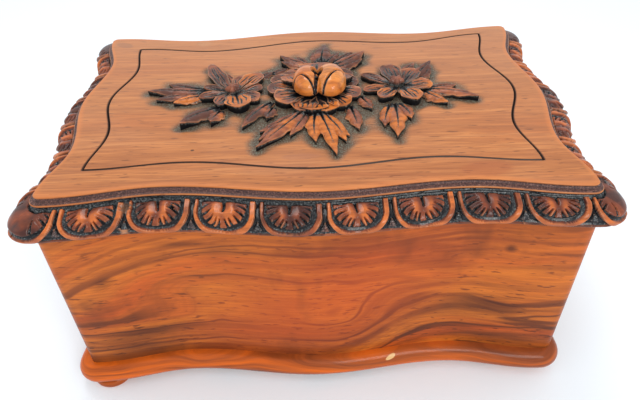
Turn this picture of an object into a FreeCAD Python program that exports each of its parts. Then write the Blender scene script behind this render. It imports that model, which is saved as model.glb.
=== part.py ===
import FreeCAD, Part
import math
import os

from FreeCAD import Vector

# A carved walnut jewelry box, in millimetres. +Z is up, the front faces -Y, and the origin is on the
# table below the middle of the box. The box stands on four turned feet, and its lid turns about the
# pins of two butt hinges at the back.

# Heights, from the table up
foot_height = 4.5
base_height = 12.5
wall_height = 97.5
lid_gap = 0.2
border_height = 13.3
panel_height = 4.5

base_z = foot_height
wall_z = base_z + base_height
rim_z = wall_z + wall_height
border_z = rim_z + lid_gap
panel_z = border_z + border_height
top_z = panel_z + panel_height

# Outlines in plan. Corners run front left, front right, back right, back left. Each side, from the
# front one round to the left one, has a hollow near both of its corners and a swelling in its middle:
# (depth of the hollows, rise of the swelling), both measured from the straight line between corners.
hollow_place = 0.22
base_outline = {
    "corners": [(-128.5, -84.8), (128.5, -84.8), (128.5, 77.5), (-128.5, 77.5)],
    "waves": [(6.8, -0.4), (5.5, 0.7), (0, 0), (5.5, 0.7)],
    "radius": 5,
}
wall_outline = {
    "corners": [(-127.3, -84.6), (129.7, -84.4), (129.7, 77), (-127.3, 77)],
    "waves": [(6.8, -0.4), (5.5, 0.7), (0, 0), (5.5, 0.7)],
    "radius": 4,
}
panel_outline = {
    "corners": [(-124, -79.4), (125, -81.8), (125, 81.8), (-125, 77.8)],
    "waves": [(6.5, -0.5), (7.1, -1.1), (6.6, 0.5), (7.1, -1.1)],
    "radius": 3,
}
border_outline = {
    "corners": [(-137.5, -94.4), (138.5, -94.6), (138, 95), (-138.5, 92.4)],
    "waves": [(4.4, 0.8), (6.5, 0.2), (5.5, 0.5), (7, -1.8)],
    "radius": 12,
}

# The space inside, and the linings that cover it
inside = {"left": -114, "right": 115, "front": -70, "back": 68}
floor_lining_thickness = 3
wall_lining_thickness = 2
lining_below_rim = 3
lid_lining_thickness = 6

# Edge profiles: (height in the piece, distance outside its outline), and for the border (height, share
# of the way from under the panel's bead out to the border's widest line)
base_reach = 6
base_edge_start = 1
panel_edge = [(0, 1.4), (0.7, 2.3), (1.5, 2.3), (1.9, 1.6), (2.3, 0.3), (3.2, -0.3), (3.9, 0), (4.5, -0.5)]
border_start = 1.8
border_edge = [
    (0, 0.22), (1, 0.62), (2.6, 0.87), (4.6, 0.98), (6.6, 1), (8.6, 0.95), (10.4, 0.79), (11.9, 0.52),
    (12.9, 0.2), (13.3, 0),
]
mitre_reach = 4

# Feet: the front left one has crept out to the corner, the others stand further in
foot_radius = 11
feet = {
    "front_left_foot": (-119, -79.5),
    "front_right_foot": (113, -71),
    "back_left_foot": (-113, 63),
    "back_right_foot": (113, 63),
}

# Hinges
hinge_places = {"left": -68, "right": 68}
hinge_width = 30
leaf_depth = 10.5
leaf_thickness = 1.1
knuckle_radius = 2.2
knuckle_gap = 0.2
pin_radius = 1.1
pin_clearance = 0.05
pin_head_radius = 1.9
pin_head_length = 0.8
axis_behind_wall = 2.5
knuckle_room = 0.4
axis_y = wall_outline["corners"][2][1] + axis_behind_wall
axis_z = rim_z + lid_gap / 2
leaf_start_y = axis_y - knuckle_radius - knuckle_room

# Screws: (head radius, head height, shank radius, length)
hinge_screw = (1.7, 0.9, 0.8, 7)
hinge_screw_spacing = 10
hinge_screw_y = axis_y - 6.5
base_screw = (3.2, 2.2, 1.6, 28)
base_screw_places = [(-100, -75), (0, -76), (100, -75), (-100, 72.5), (0, 72.5), (100, 72.5)]

# The carving: (foot of the leaf, its tip, width, height). Petals of the three flowers are leaves too.
rose_centre = (4.5, 8)
rose_radius = 15
rose_height = 11
carving_leaves = [
    ((5, 34), (9, 58), 17, 4), ((0, 30), (-18, 40), 15, 5), ((10, 30), (31, 41), 16, 6),
    ((-2, -14), (-27, -50), 18, 5), ((3, -14), (11, -56), 20, 5), ((19, -12), (23, -35), 10, 4),
    ((-20, -5), (-34, -31), 12, 5), ((0, 0), (-20, 8), 26, 6), ((2, 2), (3, -17), 26, 5),
    ((8, 0), (23, -9), 20, 6),
    ((-42, 2), (-56, 32), 16, 4), ((-42, 2), (-30, 22), 16, 5), ((-42, 2), (-25, -1), 16, 5),
    ((-42, 4), (-38, -17), 15, 7), ((-42, 2), (-58, -6), 12, 5), ((-42, 2), (-58, 7), 9, 4),
    ((-53, 1), (-88, 3), 17, 5), ((-48, -8), (-64, -30), 17, 5),
    ((47, 3), (46, 25), 15, 5), ((47, 3), (64, 8), 15, 5), ((47, 3), (55, -12), 14, 6),
    ((47, 3), (35, -9), 13, 6), ((47, 3), (28, 14), 13, 4),
    ((55, 10), (69, 28), 14, 4), ((56, 0), (86, -9), 15, 5), ((45, -5), (41, -42), 16, 5),
    ((26, 2), (30, -16), 9, 3),
]
carving_ground = [((4.5, 8), 24), ((-42, 2), 12), ((47, 3), 12)]
carving_ground_height = 2
stem_width = 16

os.makedirs("parts", exist_ok=True)


def wave(place, hollow, rise):
    """Distance outside the straight side at a place from 0 to 1 along it: half cosines join the corner,
    the hollow and the swelling in the middle."""
    near = min(place, 1 - place)
    if near < hollow_place:
        return -hollow * (1 - math.cos(math.pi * near / hollow_place)) / 2
    part = (near - hollow_place) / (0.5 - hollow_place)
    return -hollow + (hollow + rise) * (1 - math.cos(math.pi * part)) / 2


def outline_wire(outline, z, points=15):
    """The closed outline at height z: an arc at each corner and a waved curve between."""
    corners = [Vector(x, y, z) for x, y in outline["corners"]]
    radius = outline["radius"]
    starts = []
    ends = []
    arcs = []
    for i, corner in enumerate(corners):
        back = (corners[i - 1] - corner).normalize()
        ahead = (corners[(i + 1) % 4] - corner).normalize()
        half = back.getAngle(ahead) / 2
        reach = radius / math.tan(half)
        centre = corner + (back + ahead).normalize() * (radius / math.sin(half))
        middle = centre + (corner - centre).normalize() * radius
        starts.append(corner + back * reach)
        ends.append(corner + ahead * reach)
        arcs.append(Part.Arc(starts[i], middle, ends[i]).toShape())
    edges = []
    for i in range(4):
        a = ends[i]
        b = starts[(i + 1) % 4]
        along = (b - a).normalize()
        out = along.cross(Vector(0, 0, 1))
        hollow, rise = outline["waves"][i]
        edges.append(arcs[i])
        if hollow == 0:
            edges.append(Part.LineSegment(a, b).toShape())
            continue
        places = [k / (points - 1) for k in range(points)]
        curve = Part.BSplineCurve()
        curve.interpolate(
            Points=[a + (b - a) * p + out * wave(p, hollow, rise) for p in places],
            InitialTangent=b - a,
            FinalTangent=b - a,
        )
        edges.append(curve.toShape())
    return Part.Wire(edges)


def grown(outline, grow):
    """The outline with each corner moved outwards by the same distance in X and in Y."""
    return {
        "corners": [
            (x + grow * math.copysign(1, x), y + grow * math.copysign(1, y)) for x, y in outline["corners"]
        ],
        "waves": outline["waves"],
        "radius": outline["radius"] + max(grow, 0),
    }


def mixed(a, b, share):
    """The outline at a share of the way from a to b."""
    def pairs(key):
        return [
            tuple(p + (q - p) * share for p, q in zip(one, other)) for one, other in zip(a[key], b[key])
        ]
    return {
        "corners": pairs("corners"),
        "waves": pairs("waves"),
        "radius": a["radius"] + (b["radius"] - a["radius"]) * share,
    }


def lofted(levels, ruled):
    """A solid through the outlines at the given heights."""
    return Part.makeLoft([outline_wire(outline, z) for z, outline in levels], True, ruled)


def block(x0, x1, y0, y1, z0, z1):
    return Part.makeBox(x1 - x0, y1 - y0, z1 - z0, Vector(x0, y0, z0))


def inside_block(z0, z1):
    return block(inside["left"], inside["right"], inside["front"], inside["back"], z0, z1)


def mitred(ring, outline, z0, z1):
    """Cuts a ring into its front, right, back and left pieces, along the lines from the inner corners
    through the outer ones."""
    inner = [
        (inside["left"], inside["front"]), (inside["right"], inside["front"]),
        (inside["right"], inside["back"]), (inside["left"], inside["back"]),
    ]
    near = []
    far = []
    for (ix, iy), (ox, oy) in zip(inner, outline["corners"]):
        near.append(Vector(ix - (ox - ix), iy - (oy - iy), z0))
        far.append(Vector(ix + mitre_reach * (ox - ix), iy + mitre_reach * (oy - iy), z0))
    pieces = {}
    for i, side in enumerate(["front", "right", "back", "left"]):
        j = (i + 1) % 4
        wedge = Part.Face(Part.makePolygon([near[i], far[i], far[j], near[j], near[i]]))
        pieces[side] = ring.common(wedge.extrude(Vector(0, 0, z1 - z0)))
    return pieces


def screw(size, x, y, z, down):
    """A countersunk screw whose head is flush with z, pointing down or up."""
    head_radius, head_height, shank_radius, length = size
    outline = [
        Vector(0, 0, 0), Vector(head_radius, 0, 0), Vector(shank_radius, 0, -head_height),
        Vector(shank_radius, 0, -length + shank_radius), Vector(0, 0, -length), Vector(0, 0, 0),
    ]
    shape = Part.Face(Part.makePolygon(outline)).revolve(Vector(0, 0, 0), Vector(0, 0, 1), 360)
    if not down:
        shape.rotate(Vector(0, 0, 0), Vector(1, 0, 0), 180)
    shape.translate(Vector(x, y, z))
    return shape


def knuckles(places, bore):
    """Barrels about the hinge axis, at pairs of x values, and the hole through them."""
    along = Vector(1, 0, 0)
    start = Vector(places[0][0] - hinge_width / 2, axis_y, axis_z)
    barrels = [
        Part.makeCylinder(knuckle_radius, x1 - x0, Vector(x0, axis_y, axis_z), along) for x0, x1 in places
    ]
    return barrels, Part.makeCylinder(bore, 2 * hinge_width, start, along)


def hinge(middle):
    """One butt hinge: the leaf on the box with its two outer barrels, the leaf on the lid with the
    middle barrel, and the headed pin through all three."""
    x0 = middle - hinge_width / 2
    x1 = middle + hinge_width / 2
    third = hinge_width / 3
    on_box = [(x0, x0 + third - knuckle_gap), (x1 - third + knuckle_gap, x1)]
    on_lid = [(x0 + third, x1 - third)]
    leaves = {}
    for name, places, z0 in [("box", on_box, rim_z - leaf_thickness), ("lid", on_lid, border_z)]:
        barrels, hole = knuckles(places, pin_radius + pin_clearance)
        webs = [block(a, b, leaf_start_y - 0.5, axis_y, z0, z0 + leaf_thickness) for a, b in places]
        plate = block(x0, x1, axis_y - leaf_depth, leaf_start_y, z0, z0 + leaf_thickness)
        leaves[name] = plate.fuse(webs + barrels).removeSplitter().cut(hole)
    pin = Part.makeCylinder(pin_radius, hinge_width, Vector(x0, axis_y, axis_z), Vector(1, 0, 0))
    heads = [
        Part.makeCylinder(pin_head_radius, pin_head_length, Vector(x, axis_y, axis_z), Vector(1, 0, 0))
        for x in (x0 - pin_head_length, x1)
    ]
    return leaves["box"], leaves["lid"], pin.fuse(heads).removeSplitter()


def leaf_solid(foot, tip, width, height):
    """A leaf as a lens of two arcs from foot to tip, standing on the lid."""
    a = Vector(foot[0], foot[1], top_z)
    b = Vector(tip[0], tip[1], top_z)
    side = (b - a).normalize().cross(Vector(0, 0, 1)) * (width / 2)
    middle = (a + b) * 0.5
    face = Part.Face(Part.Wire([
        Part.Arc(a, middle + side, b).toShape(),
        Part.Arc(b, middle - side, a).toShape(),
    ]))
    return face.extrude(Vector(0, 0, height))


def carving():
    """Rose, two blossoms and their leaves, on a low ground that joins them."""
    cap_radius = (rose_radius ** 2 + rose_height ** 2) / (2 * rose_height)
    ball = Part.makeSphere(cap_radius, Vector(*rose_centre, top_z + rose_height - cap_radius))
    solids = [ball.common(block(-50, 50, -50, 50, top_z, top_z + rose_height + 1))]
    for (x, y), radius in carving_ground:
        solids.append(Part.makeCylinder(radius, carving_ground_height, Vector(x, y, top_z)))
    x0 = carving_ground[1][0][0]
    x1 = carving_ground[2][0][0]
    y = carving_ground[1][0][1]
    half = stem_width / 2
    solids.append(block(x0, x1, y - half, y + half, top_z, top_z + carving_ground_height))
    solids += [leaf_solid(*leaf) for leaf in carving_leaves]
    return solids[0].fuse(solids[1:]).removeSplitter()


nodes = {}

# Box: base board with a half round edge, four walls mitred at the corners
steps = [math.radians(a) for a in range(-90, 91, 18)]
base_edge = [
    (base_height * (1 + math.sin(a)) / 2, base_edge_start + base_reach * math.cos(a)) for a in steps
]
base_levels = [(base_z + height, grown(base_outline, grow)) for height, grow in base_edge]
nodes["base_board"] = lofted(base_levels, False)
wall_ring = Part.Face(outline_wire(wall_outline, wall_z)).extrude(Vector(0, 0, wall_height))
wall_ring = wall_ring.cut(inside_block(wall_z - 1, rim_z + 1))
for side, piece in mitred(wall_ring, wall_outline, wall_z - 1, rim_z + 1).items():
    nodes[f"{side}_panel"] = piece
for name, (x, y) in feet.items():
    disc = Part.makeCylinder(foot_radius, foot_height, Vector(x, y, 0))
    nodes[name] = disc.makeFillet(foot_height * 0.4, [e for e in disc.Edges if e.isClosed()])

# Linings
lining_top = rim_z - lining_below_rim
lining_z = wall_z + floor_lining_thickness
t = wall_lining_thickness
nodes["floor_lining"] = inside_block(wall_z, lining_z)
nodes["front_lining"] = block(
    inside["left"] + t, inside["right"] - t, inside["front"], inside["front"] + t, lining_z, lining_top
)
nodes["back_lining"] = block(
    inside["left"] + t, inside["right"] - t, inside["back"] - t, inside["back"], lining_z, lining_top
)
nodes["left_lining"] = block(
    inside["left"], inside["left"] + t, inside["front"], inside["back"], lining_z, lining_top
)
nodes["right_lining"] = block(
    inside["right"] - t, inside["right"], inside["front"], inside["back"], lining_z, lining_top
)
nodes["lid_lining"] = inside_block(panel_z - lid_lining_thickness, panel_z)

# Lid: panel with a cove and bead round its edge, and the border it sits on, mitred at the corners
panel_levels = [(panel_z + height, grown(panel_outline, grow)) for height, grow in panel_edge]
nodes["lid_panel"] = lofted(panel_levels, True)
under_bead = grown(panel_outline, border_start)
border_levels = [
    (border_z + height, mixed(under_bead, border_outline, share)) for height, share in border_edge
]
border_ring = lofted(border_levels, False).cut(inside_block(border_z - 1, panel_z + 1))
for side, piece in mitred(border_ring, border_outline, border_z - 1, panel_z + 1).items():
    nodes[f"{side}_border"] = piece
nodes["rose_carving"] = carving()

# Hinges, let into the back wall and the back border, which also has room for the barrels
box_screws = []
lid_screws = []
for side, x in hinge_places.items():
    box_leaf, lid_leaf, pin = hinge(x)
    x0 = x - hinge_width / 2
    x1 = x + hinge_width / 2
    box_seat = block(x0, x1, axis_y - leaf_depth, axis_y, rim_z - leaf_thickness, rim_z + 1)
    lid_seat = block(x0, x1, axis_y - leaf_depth, axis_y, border_z - 1, border_z + leaf_thickness)
    reach = knuckle_radius + knuckle_room
    end = 2 * pin_head_length
    room = block(x0 - end, x1 + end, leaf_start_y, axis_y + reach, border_z - 1, axis_z + reach)
    screw_places = [x - hinge_screw_spacing, x, x + hinge_screw_spacing]
    box_side = [screw(hinge_screw, place, hinge_screw_y, rim_z, True) for place in screw_places]
    lid_side = [screw(hinge_screw, place, hinge_screw_y, border_z, False) for place in screw_places]
    nodes["back_panel"] = nodes["back_panel"].cut([box_seat] + box_side)
    nodes["back_border"] = nodes["back_border"].cut([lid_seat, room] + lid_side)
    nodes[f"{side}_hinge_box_leaf"] = box_leaf.cut(box_side)
    nodes[f"{side}_hinge_lid_leaf"] = lid_leaf.cut(lid_side)
    nodes[f"{side}_hinge_pin"] = pin
    box_screws += box_side
    lid_screws += lid_side
nodes["box_hinge_screws"] = Part.makeCompound(box_screws)
nodes["lid_hinge_screws"] = Part.makeCompound(lid_screws)

# Screws up through the base board into the front and back walls
base_screws = [screw(base_screw, x, y, base_z, False) for x, y in base_screw_places]
for name in ("base_board", "front_panel", "back_panel"):
    nodes[name] = nodes[name].cut(base_screws)
nodes["base_screws"] = Part.makeCompound(base_screws)

for name, shape in nodes.items():
    shape.exportStep(f"parts/{name}.step")
    print(name, shape.isValid(), len(shape.Solids), round(shape.Volume / 1000, 2))
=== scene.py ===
import math

import bpy
import numpy as np
from mathutils import Matrix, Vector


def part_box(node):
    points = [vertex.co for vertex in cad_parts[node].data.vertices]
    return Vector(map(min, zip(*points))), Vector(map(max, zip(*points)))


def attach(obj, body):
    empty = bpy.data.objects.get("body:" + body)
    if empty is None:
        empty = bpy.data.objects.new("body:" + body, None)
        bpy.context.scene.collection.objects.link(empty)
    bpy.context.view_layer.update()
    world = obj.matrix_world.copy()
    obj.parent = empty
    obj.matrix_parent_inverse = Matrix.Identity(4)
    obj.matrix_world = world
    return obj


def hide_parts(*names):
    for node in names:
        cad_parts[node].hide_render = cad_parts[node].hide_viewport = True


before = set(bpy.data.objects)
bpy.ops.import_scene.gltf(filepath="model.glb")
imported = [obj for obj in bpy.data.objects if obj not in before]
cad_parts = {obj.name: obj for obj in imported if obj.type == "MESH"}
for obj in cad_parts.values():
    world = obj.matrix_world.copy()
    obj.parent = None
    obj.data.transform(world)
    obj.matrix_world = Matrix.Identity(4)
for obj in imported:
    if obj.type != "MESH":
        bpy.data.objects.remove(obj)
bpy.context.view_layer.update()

scene = bpy.context.scene
scene.view_settings.view_transform = "Standard"

# Carved walnut jewelry box. Shapes are worked out in millimetres and put into the meshes in metres.
# Heights come from the frame; the plan outlines have their corners front left, front right, back
# right, back left, and for each side from the front one round to the left one a pair
# (depth of the hollows near its corners, rise of its middle), both from the straight side.


def lowOf(node):
    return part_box(node)[0].z * 1000


def highOf(node):
    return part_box(node)[1].z * 1000


heights = {
    "base": lowOf("base_board"), "wall": lowOf("front_panel"), "rim": highOf("front_panel"),
    "border": lowOf("front_border"), "panel": lowOf("lid_panel"), "top": highOf("lid_panel"),
}
insideBox = {"low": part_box("lid_lining")[0] * 1000, "high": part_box("lid_lining")[1] * 1000}
hollowPlace = 0.22  # where a hollow lies, as a share of its side
baseOutline = {
    "corners": [(-128.5, -84.8), (128.5, -84.8), (128.5, 77.5), (-128.5, 77.5)],
    "waves": [(6.8, -0.4), (5.5, 0.7), (0, 0), (5.5, 0.7)], "radius": 5,
}
wallOutline = {
    "corners": [(-127.3, -84.6), (129.7, -84.4), (129.7, 77), (-127.3, 77)],
    "waves": [(6.8, -0.4), (5.5, 0.7), (0, 0), (5.5, 0.7)], "radius": 4,
}
panelOutline = {
    "corners": [(-123, -79.4), (125, -81.8), (125, 81.8), (-125, 77.8)],
    "waves": [(6.5, -0.5), (7.1, -1.1), (6.6, 0.5), (7.1, -1.1)], "radius": 3,
}
borderOutline = {
    "corners": [(-135.8, -93.9), (138.5, -94.6), (138, 95), (-138.5, 92.4)],
    "waves": [(4.4, 0.8), (6.5, 0.2), (5.5, 0.5), (7, -1.8)], "radius": 12,
}
lineOutline = {
    "corners": [(-106, -60.5), (105.5, -63), (106.5, 70.5), (-104.5, 61.5)],
    "waves": [(4.3, 2.4), (5.2, 3.8), (7, 0.6), (4, 3.3)], "radius": 0.02,
}
sideNames = ["front", "right", "back", "left"]


def insideCorners():
    low, high = insideBox["low"], insideBox["high"]
    return np.array([(low.x, low.y), (high.x, low.y), (high.x, high.y), (low.x, high.y)])


def waveOut(place, hollow, rise):
    # distance outside the straight side: half cosines join the corner, the hollow and the middle
    near = np.minimum(place, 1 - place)
    first = -hollow * (1 - np.cos(np.pi * near / hollowPlace)) / 2
    inner = (near - hollowPlace) / (0.5 - hollowPlace)
    second = -hollow + (hollow + rise) * (1 - np.cos(np.pi * inner)) / 2
    return np.where(near < hollowPlace, first, second)


def unit(vector):
    return vector / np.linalg.norm(vector)


def outlineSides(outline, grow=0.0):
    # four fine polylines, each from one mitre line to the next: half an arc, the wave, half an arc;
    # a mitre line runs from the inside corner through the outline's own corner
    corners = np.array(outline["corners"], float)
    corners = corners + grow * np.sign(corners)
    radius = outline["radius"] + max(grow, 0)
    inside = insideCorners()
    before, after, starts, ends, splits = [], [], [], [], []
    for i in range(4):
        back = unit(corners[i - 1] - corners[i])
        ahead = unit(corners[(i + 1) % 4] - corners[i])
        half = math.acos(float(back @ ahead)) / 2
        centre = corners[i] + unit(back + ahead) * radius / math.sin(half)
        start = corners[i] + back * radius / math.tan(half)
        end = corners[i] + ahead * radius / math.tan(half)
        first, last = (math.atan2(*(p - centre)[::-1]) for p in (start, end))
        turn = (last - first + math.pi) % (2 * math.pi) - math.pi
        angles = first + turn * np.linspace(0, 1, 33)
        arc = centre + radius * np.stack([np.cos(angles), np.sin(angles)], 1)
        line = unit(corners[i] - inside[i])
        off = (arc - inside[i]) @ np.array([line[1], -line[0]])
        cut = int(np.argmax(np.sign(off[1:]) != np.sign(off[:-1])))
        share = off[cut] / (off[cut] - off[cut + 1])
        splits.append(arc[cut] + (arc[cut + 1] - arc[cut]) * share)
        before.append(arc[: cut + 1])
        after.append(arc[cut + 1:])
        starts.append(start)
        ends.append(end)
    sides = []
    for i in range(4):
        a, b = ends[i], starts[(i + 1) % 4]
        along = unit(b - a)
        place = np.linspace(0, 1, 241)[1:-1]
        out = np.array([along[1], -along[0]])
        middle = a + (b - a) * place[:, None] + out * waveOut(place, *outline["waves"][i])[:, None]
        parts = [splits[i][None], after[i], middle, before[(i + 1) % 4], splits[(i + 1) % 4][None]]
        sides.append(np.concatenate(parts))
    return sides


def spaced(path, count):
    # the path at count + 1 places, evenly along its length
    along = np.r_[0, np.cumsum(np.linalg.norm(np.diff(path, axis=0), axis=1))]
    at = np.linspace(0, along[-1], count + 1)
    return np.stack([np.interp(at, along, path[:, k]) for k in range(path.shape[1])], 1)


def ringLoop(outline, grow, counts):
    # the whole outline as one closed loop, the same number of points on a side at every size
    sides = outlineSides(outline, grow)
    return np.concatenate([spaced(side, n)[:-1] for side, n in zip(sides, counts)])


def smoothThrough(points, count):
    # a cubic curve through the points, each tangent taken from its two neighbours
    p = np.array(points, float)
    t = np.r_[0, np.cumsum(np.linalg.norm(np.diff(p, axis=0), axis=1))]
    slope = np.gradient(p, t, axis=0)
    s = np.linspace(0, t[-1], count)
    k = np.clip(np.searchsorted(t, s, side="right") - 1, 0, len(t) - 2)
    h = (t[k + 1] - t[k])[:, None]
    x = (s[:, None] - t[k][:, None]) / h
    near = (2 * x**3 - 3 * x**2 + 1) * p[k] + (x**3 - 2 * x**2 + x) * h * slope[k]
    far = (3 * x**2 - 2 * x**3) * p[k + 1] + (x**3 - x**2) * h * slope[k + 1]
    return near + far


def easeStep(value, low, high):
    x = np.clip((value - low) / (high - low), 0, 1)
    return x * x * (3 - 2 * x)


def ripple(points, size, seed, waves=7):
    # a smooth uneven field between about -1 and 1: a sum of sine waves in seeded directions
    draw = np.random.default_rng(seed)
    total = 0
    for _ in range(waves):
        direction = draw.normal(size=points.shape[-1])
        direction *= draw.uniform(0.6, 1.5) * 2 * np.pi / size / np.linalg.norm(direction)
        total = total + np.sin(points @ direction + draw.uniform(0, 2 * np.pi))
    return total / math.sqrt(waves)


def gridFaces(rows, cols, wrapRows=False, wrapCols=False, start=0):
    # quads of a rows x cols grid of points, closed round in either direction if asked
    index = start + np.arange(rows * cols).reshape(rows, cols)
    down = np.roll(index, -1, 0) if wrapRows else index[1:]
    across = index if wrapRows else index[:-1]
    a, d = across, down
    b, c = np.roll(a, -1, 1), np.roll(d, -1, 1)
    if not wrapCols:
        a, b, c, d = (x[:, :-1] for x in (a, b, c, d))
    return np.stack([a, b, c, d], -1).reshape(-1, 4)


def turnedOut(points, quads, caps):
    # turns every face round if the shell's volume comes out negative
    tris = [quads[:, [0, 1, 2]], quads[:, [0, 2, 3]]]
    for cap in caps:
        cap = np.array(cap)
        tris.append(np.stack([np.full(len(cap) - 2, cap[0]), cap[1:-1], cap[2:]], 1))
    tri = np.concatenate(tris)
    a, b, c = points[tri[:, 0]], points[tri[:, 1]], points[tri[:, 2]]
    if np.einsum("ij,ij->", a, np.cross(b, c)) < 0:
        return quads[:, ::-1], [list(cap)[::-1] for cap in caps]
    return quads, [list(cap) for cap in caps]


def shell(points, quads, caps=(), **values):
    # a closed skin with its faces outwards and its values for each point
    quads, caps = turnedOut(points, quads, caps)
    return {"points": points, "quads": quads, "caps": caps, "values": values}


def joined(shells):
    points, quads, caps, start = [], [], [], 0
    values = {key: [] for key in shells[0]["values"]}
    for s in shells:
        points.append(s["points"])
        quads.append(s["quads"] + start)
        caps += [[i + start for i in cap] for cap in s["caps"]]
        for key in values:
            values[key].append(s["values"][key])
        start += len(s["points"])
    return {"points": np.concatenate(points), "quads": np.concatenate(quads), "caps": caps,
            "values": {key: np.concatenate(v) for key, v in values.items()}}


def makePiece(name, skin, material, body, nodes=(), sharp=40):
    mesh = bpy.data.meshes.new(name)
    faces = skin["quads"].tolist() + skin["caps"]
    mesh.from_pydata((skin["points"] * 0.001).tolist(), [], faces)
    mesh.polygons.foreach_set("use_smooth", np.ones(len(mesh.polygons), bool))
    mesh.set_sharp_from_angle(angle=math.radians(sharp))
    for key, value in skin["values"].items():
        layer = mesh.attributes.new(key, "FLOAT", "POINT")
        layer.data.foreach_set("value", np.asarray(value, np.float32))
    mesh.materials.append(material)
    mesh.validate()
    mesh.update()
    piece = bpy.data.objects.new(name, mesh)
    scene.collection.objects.link(piece)
    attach(piece, body)
    if nodes:
        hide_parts(*nodes)
    return piece


# Materials: small helpers for the node trees, then one function for each finish


def startMaterial(name):
    material = bpy.data.materials.new(name)
    material.use_nodes = True
    tree = material.node_tree
    return material, tree, tree.nodes["Principled BSDF"]


def add(tree, kind, settings=None, **inputs):
    # a node with its settings and its sockets set or linked: a socket's spaces are written as _,
    # and i0, i1 and so on stand for its first socket, its second and so on
    new = tree.nodes.new("ShaderNode" + kind)
    for key, value in (settings or {}).items():
        setattr(new, key, value)
    for key, value in inputs.items():
        numbered = key[0] == "i" and key[1:].isdigit()
        socket = new.inputs[int(key[1:]) if numbered else key.replace("_", " ")]
        if isinstance(value, bpy.types.NodeSocket):
            tree.links.new(value, socket)
        else:
            socket.default_value = value
    return new


def objectPlace(tree):
    return add(tree, "TexCoord").outputs["Object"]


def attributeOf(tree, name):
    return add(tree, "Attribute", {"attribute_name": name}).outputs["Fac"]


def mathNode(tree, operation, *values):
    inputs = {f"i{k}": value for k, value in enumerate(values)}
    return add(tree, "Math", {"operation": operation}, **inputs).outputs[0]


def times(tree, product, *factors):
    for factor in factors:
        product = mathNode(tree, "MULTIPLY", product, factor)
    return product


def swayed(tree, value, wave, reach):
    # a value moved up and down by a noise: value + (noise - 0.5) x reach
    return mathNode(tree, "MULTIPLY_ADD", mathNode(tree, "SUBTRACT", wave, 0.5), reach, value)


def ranged(tree, value, low, high, first=0.0, last=1.0, ease="LINEAR"):
    # first where the value is low, last where it is high, level beyond both
    return add(tree, "MapRange", {"interpolation_type": ease}, Value=value, From_Min=low, From_Max=high,
               To_Min=first, To_Max=last).outputs[0]


def ramp(tree, value, stops, ease="LINEAR"):
    # a colour, or a grey given as one number, at each stop of the value
    new = add(tree, "ValToRGB", Fac=value)
    new.color_ramp.interpolation = ease
    elements = new.color_ramp.elements
    while len(elements) < len(stops):
        elements.new(0.5)
    for element, (place, colour) in zip(elements, stops):
        element.position = place
        element.color = (*colour, 1) if hasattr(colour, "__len__") else (colour, colour, colour, 1)
    return new.outputs["Color"]


def rgba(colour):
    return colour if isinstance(colour, bpy.types.NodeSocket) else (*colour, 1)


def mixed(tree, share, first, second):
    # the first colour where the share is 0, the second where it is 1
    return add(tree, "Mix", {"data_type": "RGBA"}, i0=share, i6=rgba(first), i7=rgba(second)).outputs[2]


def tinted(tree, colour, share, strength, tone):
    # the colour moved towards a tone by share x strength
    return mixed(tree, times(tree, share, strength), colour, tone)


def streaked(tree, colour, field, low, high, strength, tone):
    # the colour moved towards a tone: not at all where the field is low, by the strength where it is high
    return tinted(tree, colour, ramp(tree, field, [(low, 0.0), (high, 1.0)]), strength, tone)


def noise(tree, place, scale, detail=3.0, rough=0.5, distort=0.0, shift=(0, 0, 0)):
    # smooth noise between 0 and 1, with waves 1 / scale metres long in x, y and z
    moved = add(tree, "Mapping", Vector=place, Scale=scale, Location=shift).outputs[0]
    return add(tree, "TexNoise", Vector=moved, Scale=1.0, Detail=detail, Roughness=rough,
               Distortion=distort).outputs["Fac"]


def shifted(tree, place, **moves):
    # a place moved by a field along X, Y or Z
    move = add(tree, "CombineXYZ", **moves).outputs[0]
    return add(tree, "VectorMath", {"operation": "ADD"}, i0=place, i1=move).outputs[0]


def spot(tree, place, centre, radii, soft=1.0, turn=0.0, axis="Y"):
    # 1 inside an ellipsoid about a place, turned about an axis, fading to 0 over soft radii
    rotation = (0, turn, 0) if axis == "Y" else (0, 0, turn)
    moved = add(tree, "Mapping", {"vector_type": "TEXTURE"}, Vector=place, Location=centre,
                Rotation=rotation, Scale=radii).outputs[0]
    far = add(tree, "VectorMath", {"operation": "LENGTH"}, i0=moved).outputs["Value"]
    return ranged(tree, far, 1 - soft / 2, 1 + soft / 2, 1.0, 0.0)


def grainOf(tree, place, along, across, level):
    # fine streaks, and the pores where a second noise passes a level
    fine = noise(tree, place, along, 4.0, 0.6)
    pores = noise(tree, place, across, 2.0)
    return fine, ranged(tree, pores, level, level + 0.08)


def bump(tree, shader, height, distance, strength):
    new = add(tree, "Bump", Height=height, Distance=distance, Strength=strength)
    tree.links.new(new.outputs[0], shader.inputs["Normal"])


def finish(tree, shader, colour, *levels):
    # the shader's colour, then as constants its roughness, coat, roughness of the coat and specular level
    if isinstance(colour, bpy.types.NodeSocket):
        tree.links.new(colour, shader.inputs["Base Color"])
    else:
        shader.inputs["Base Color"].default_value = rgba(colour)
    for name, level in zip(("Roughness", "Coat Weight", "Coat Roughness", "Specular IOR Level"), levels):
        shader.inputs[name].default_value = level


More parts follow.
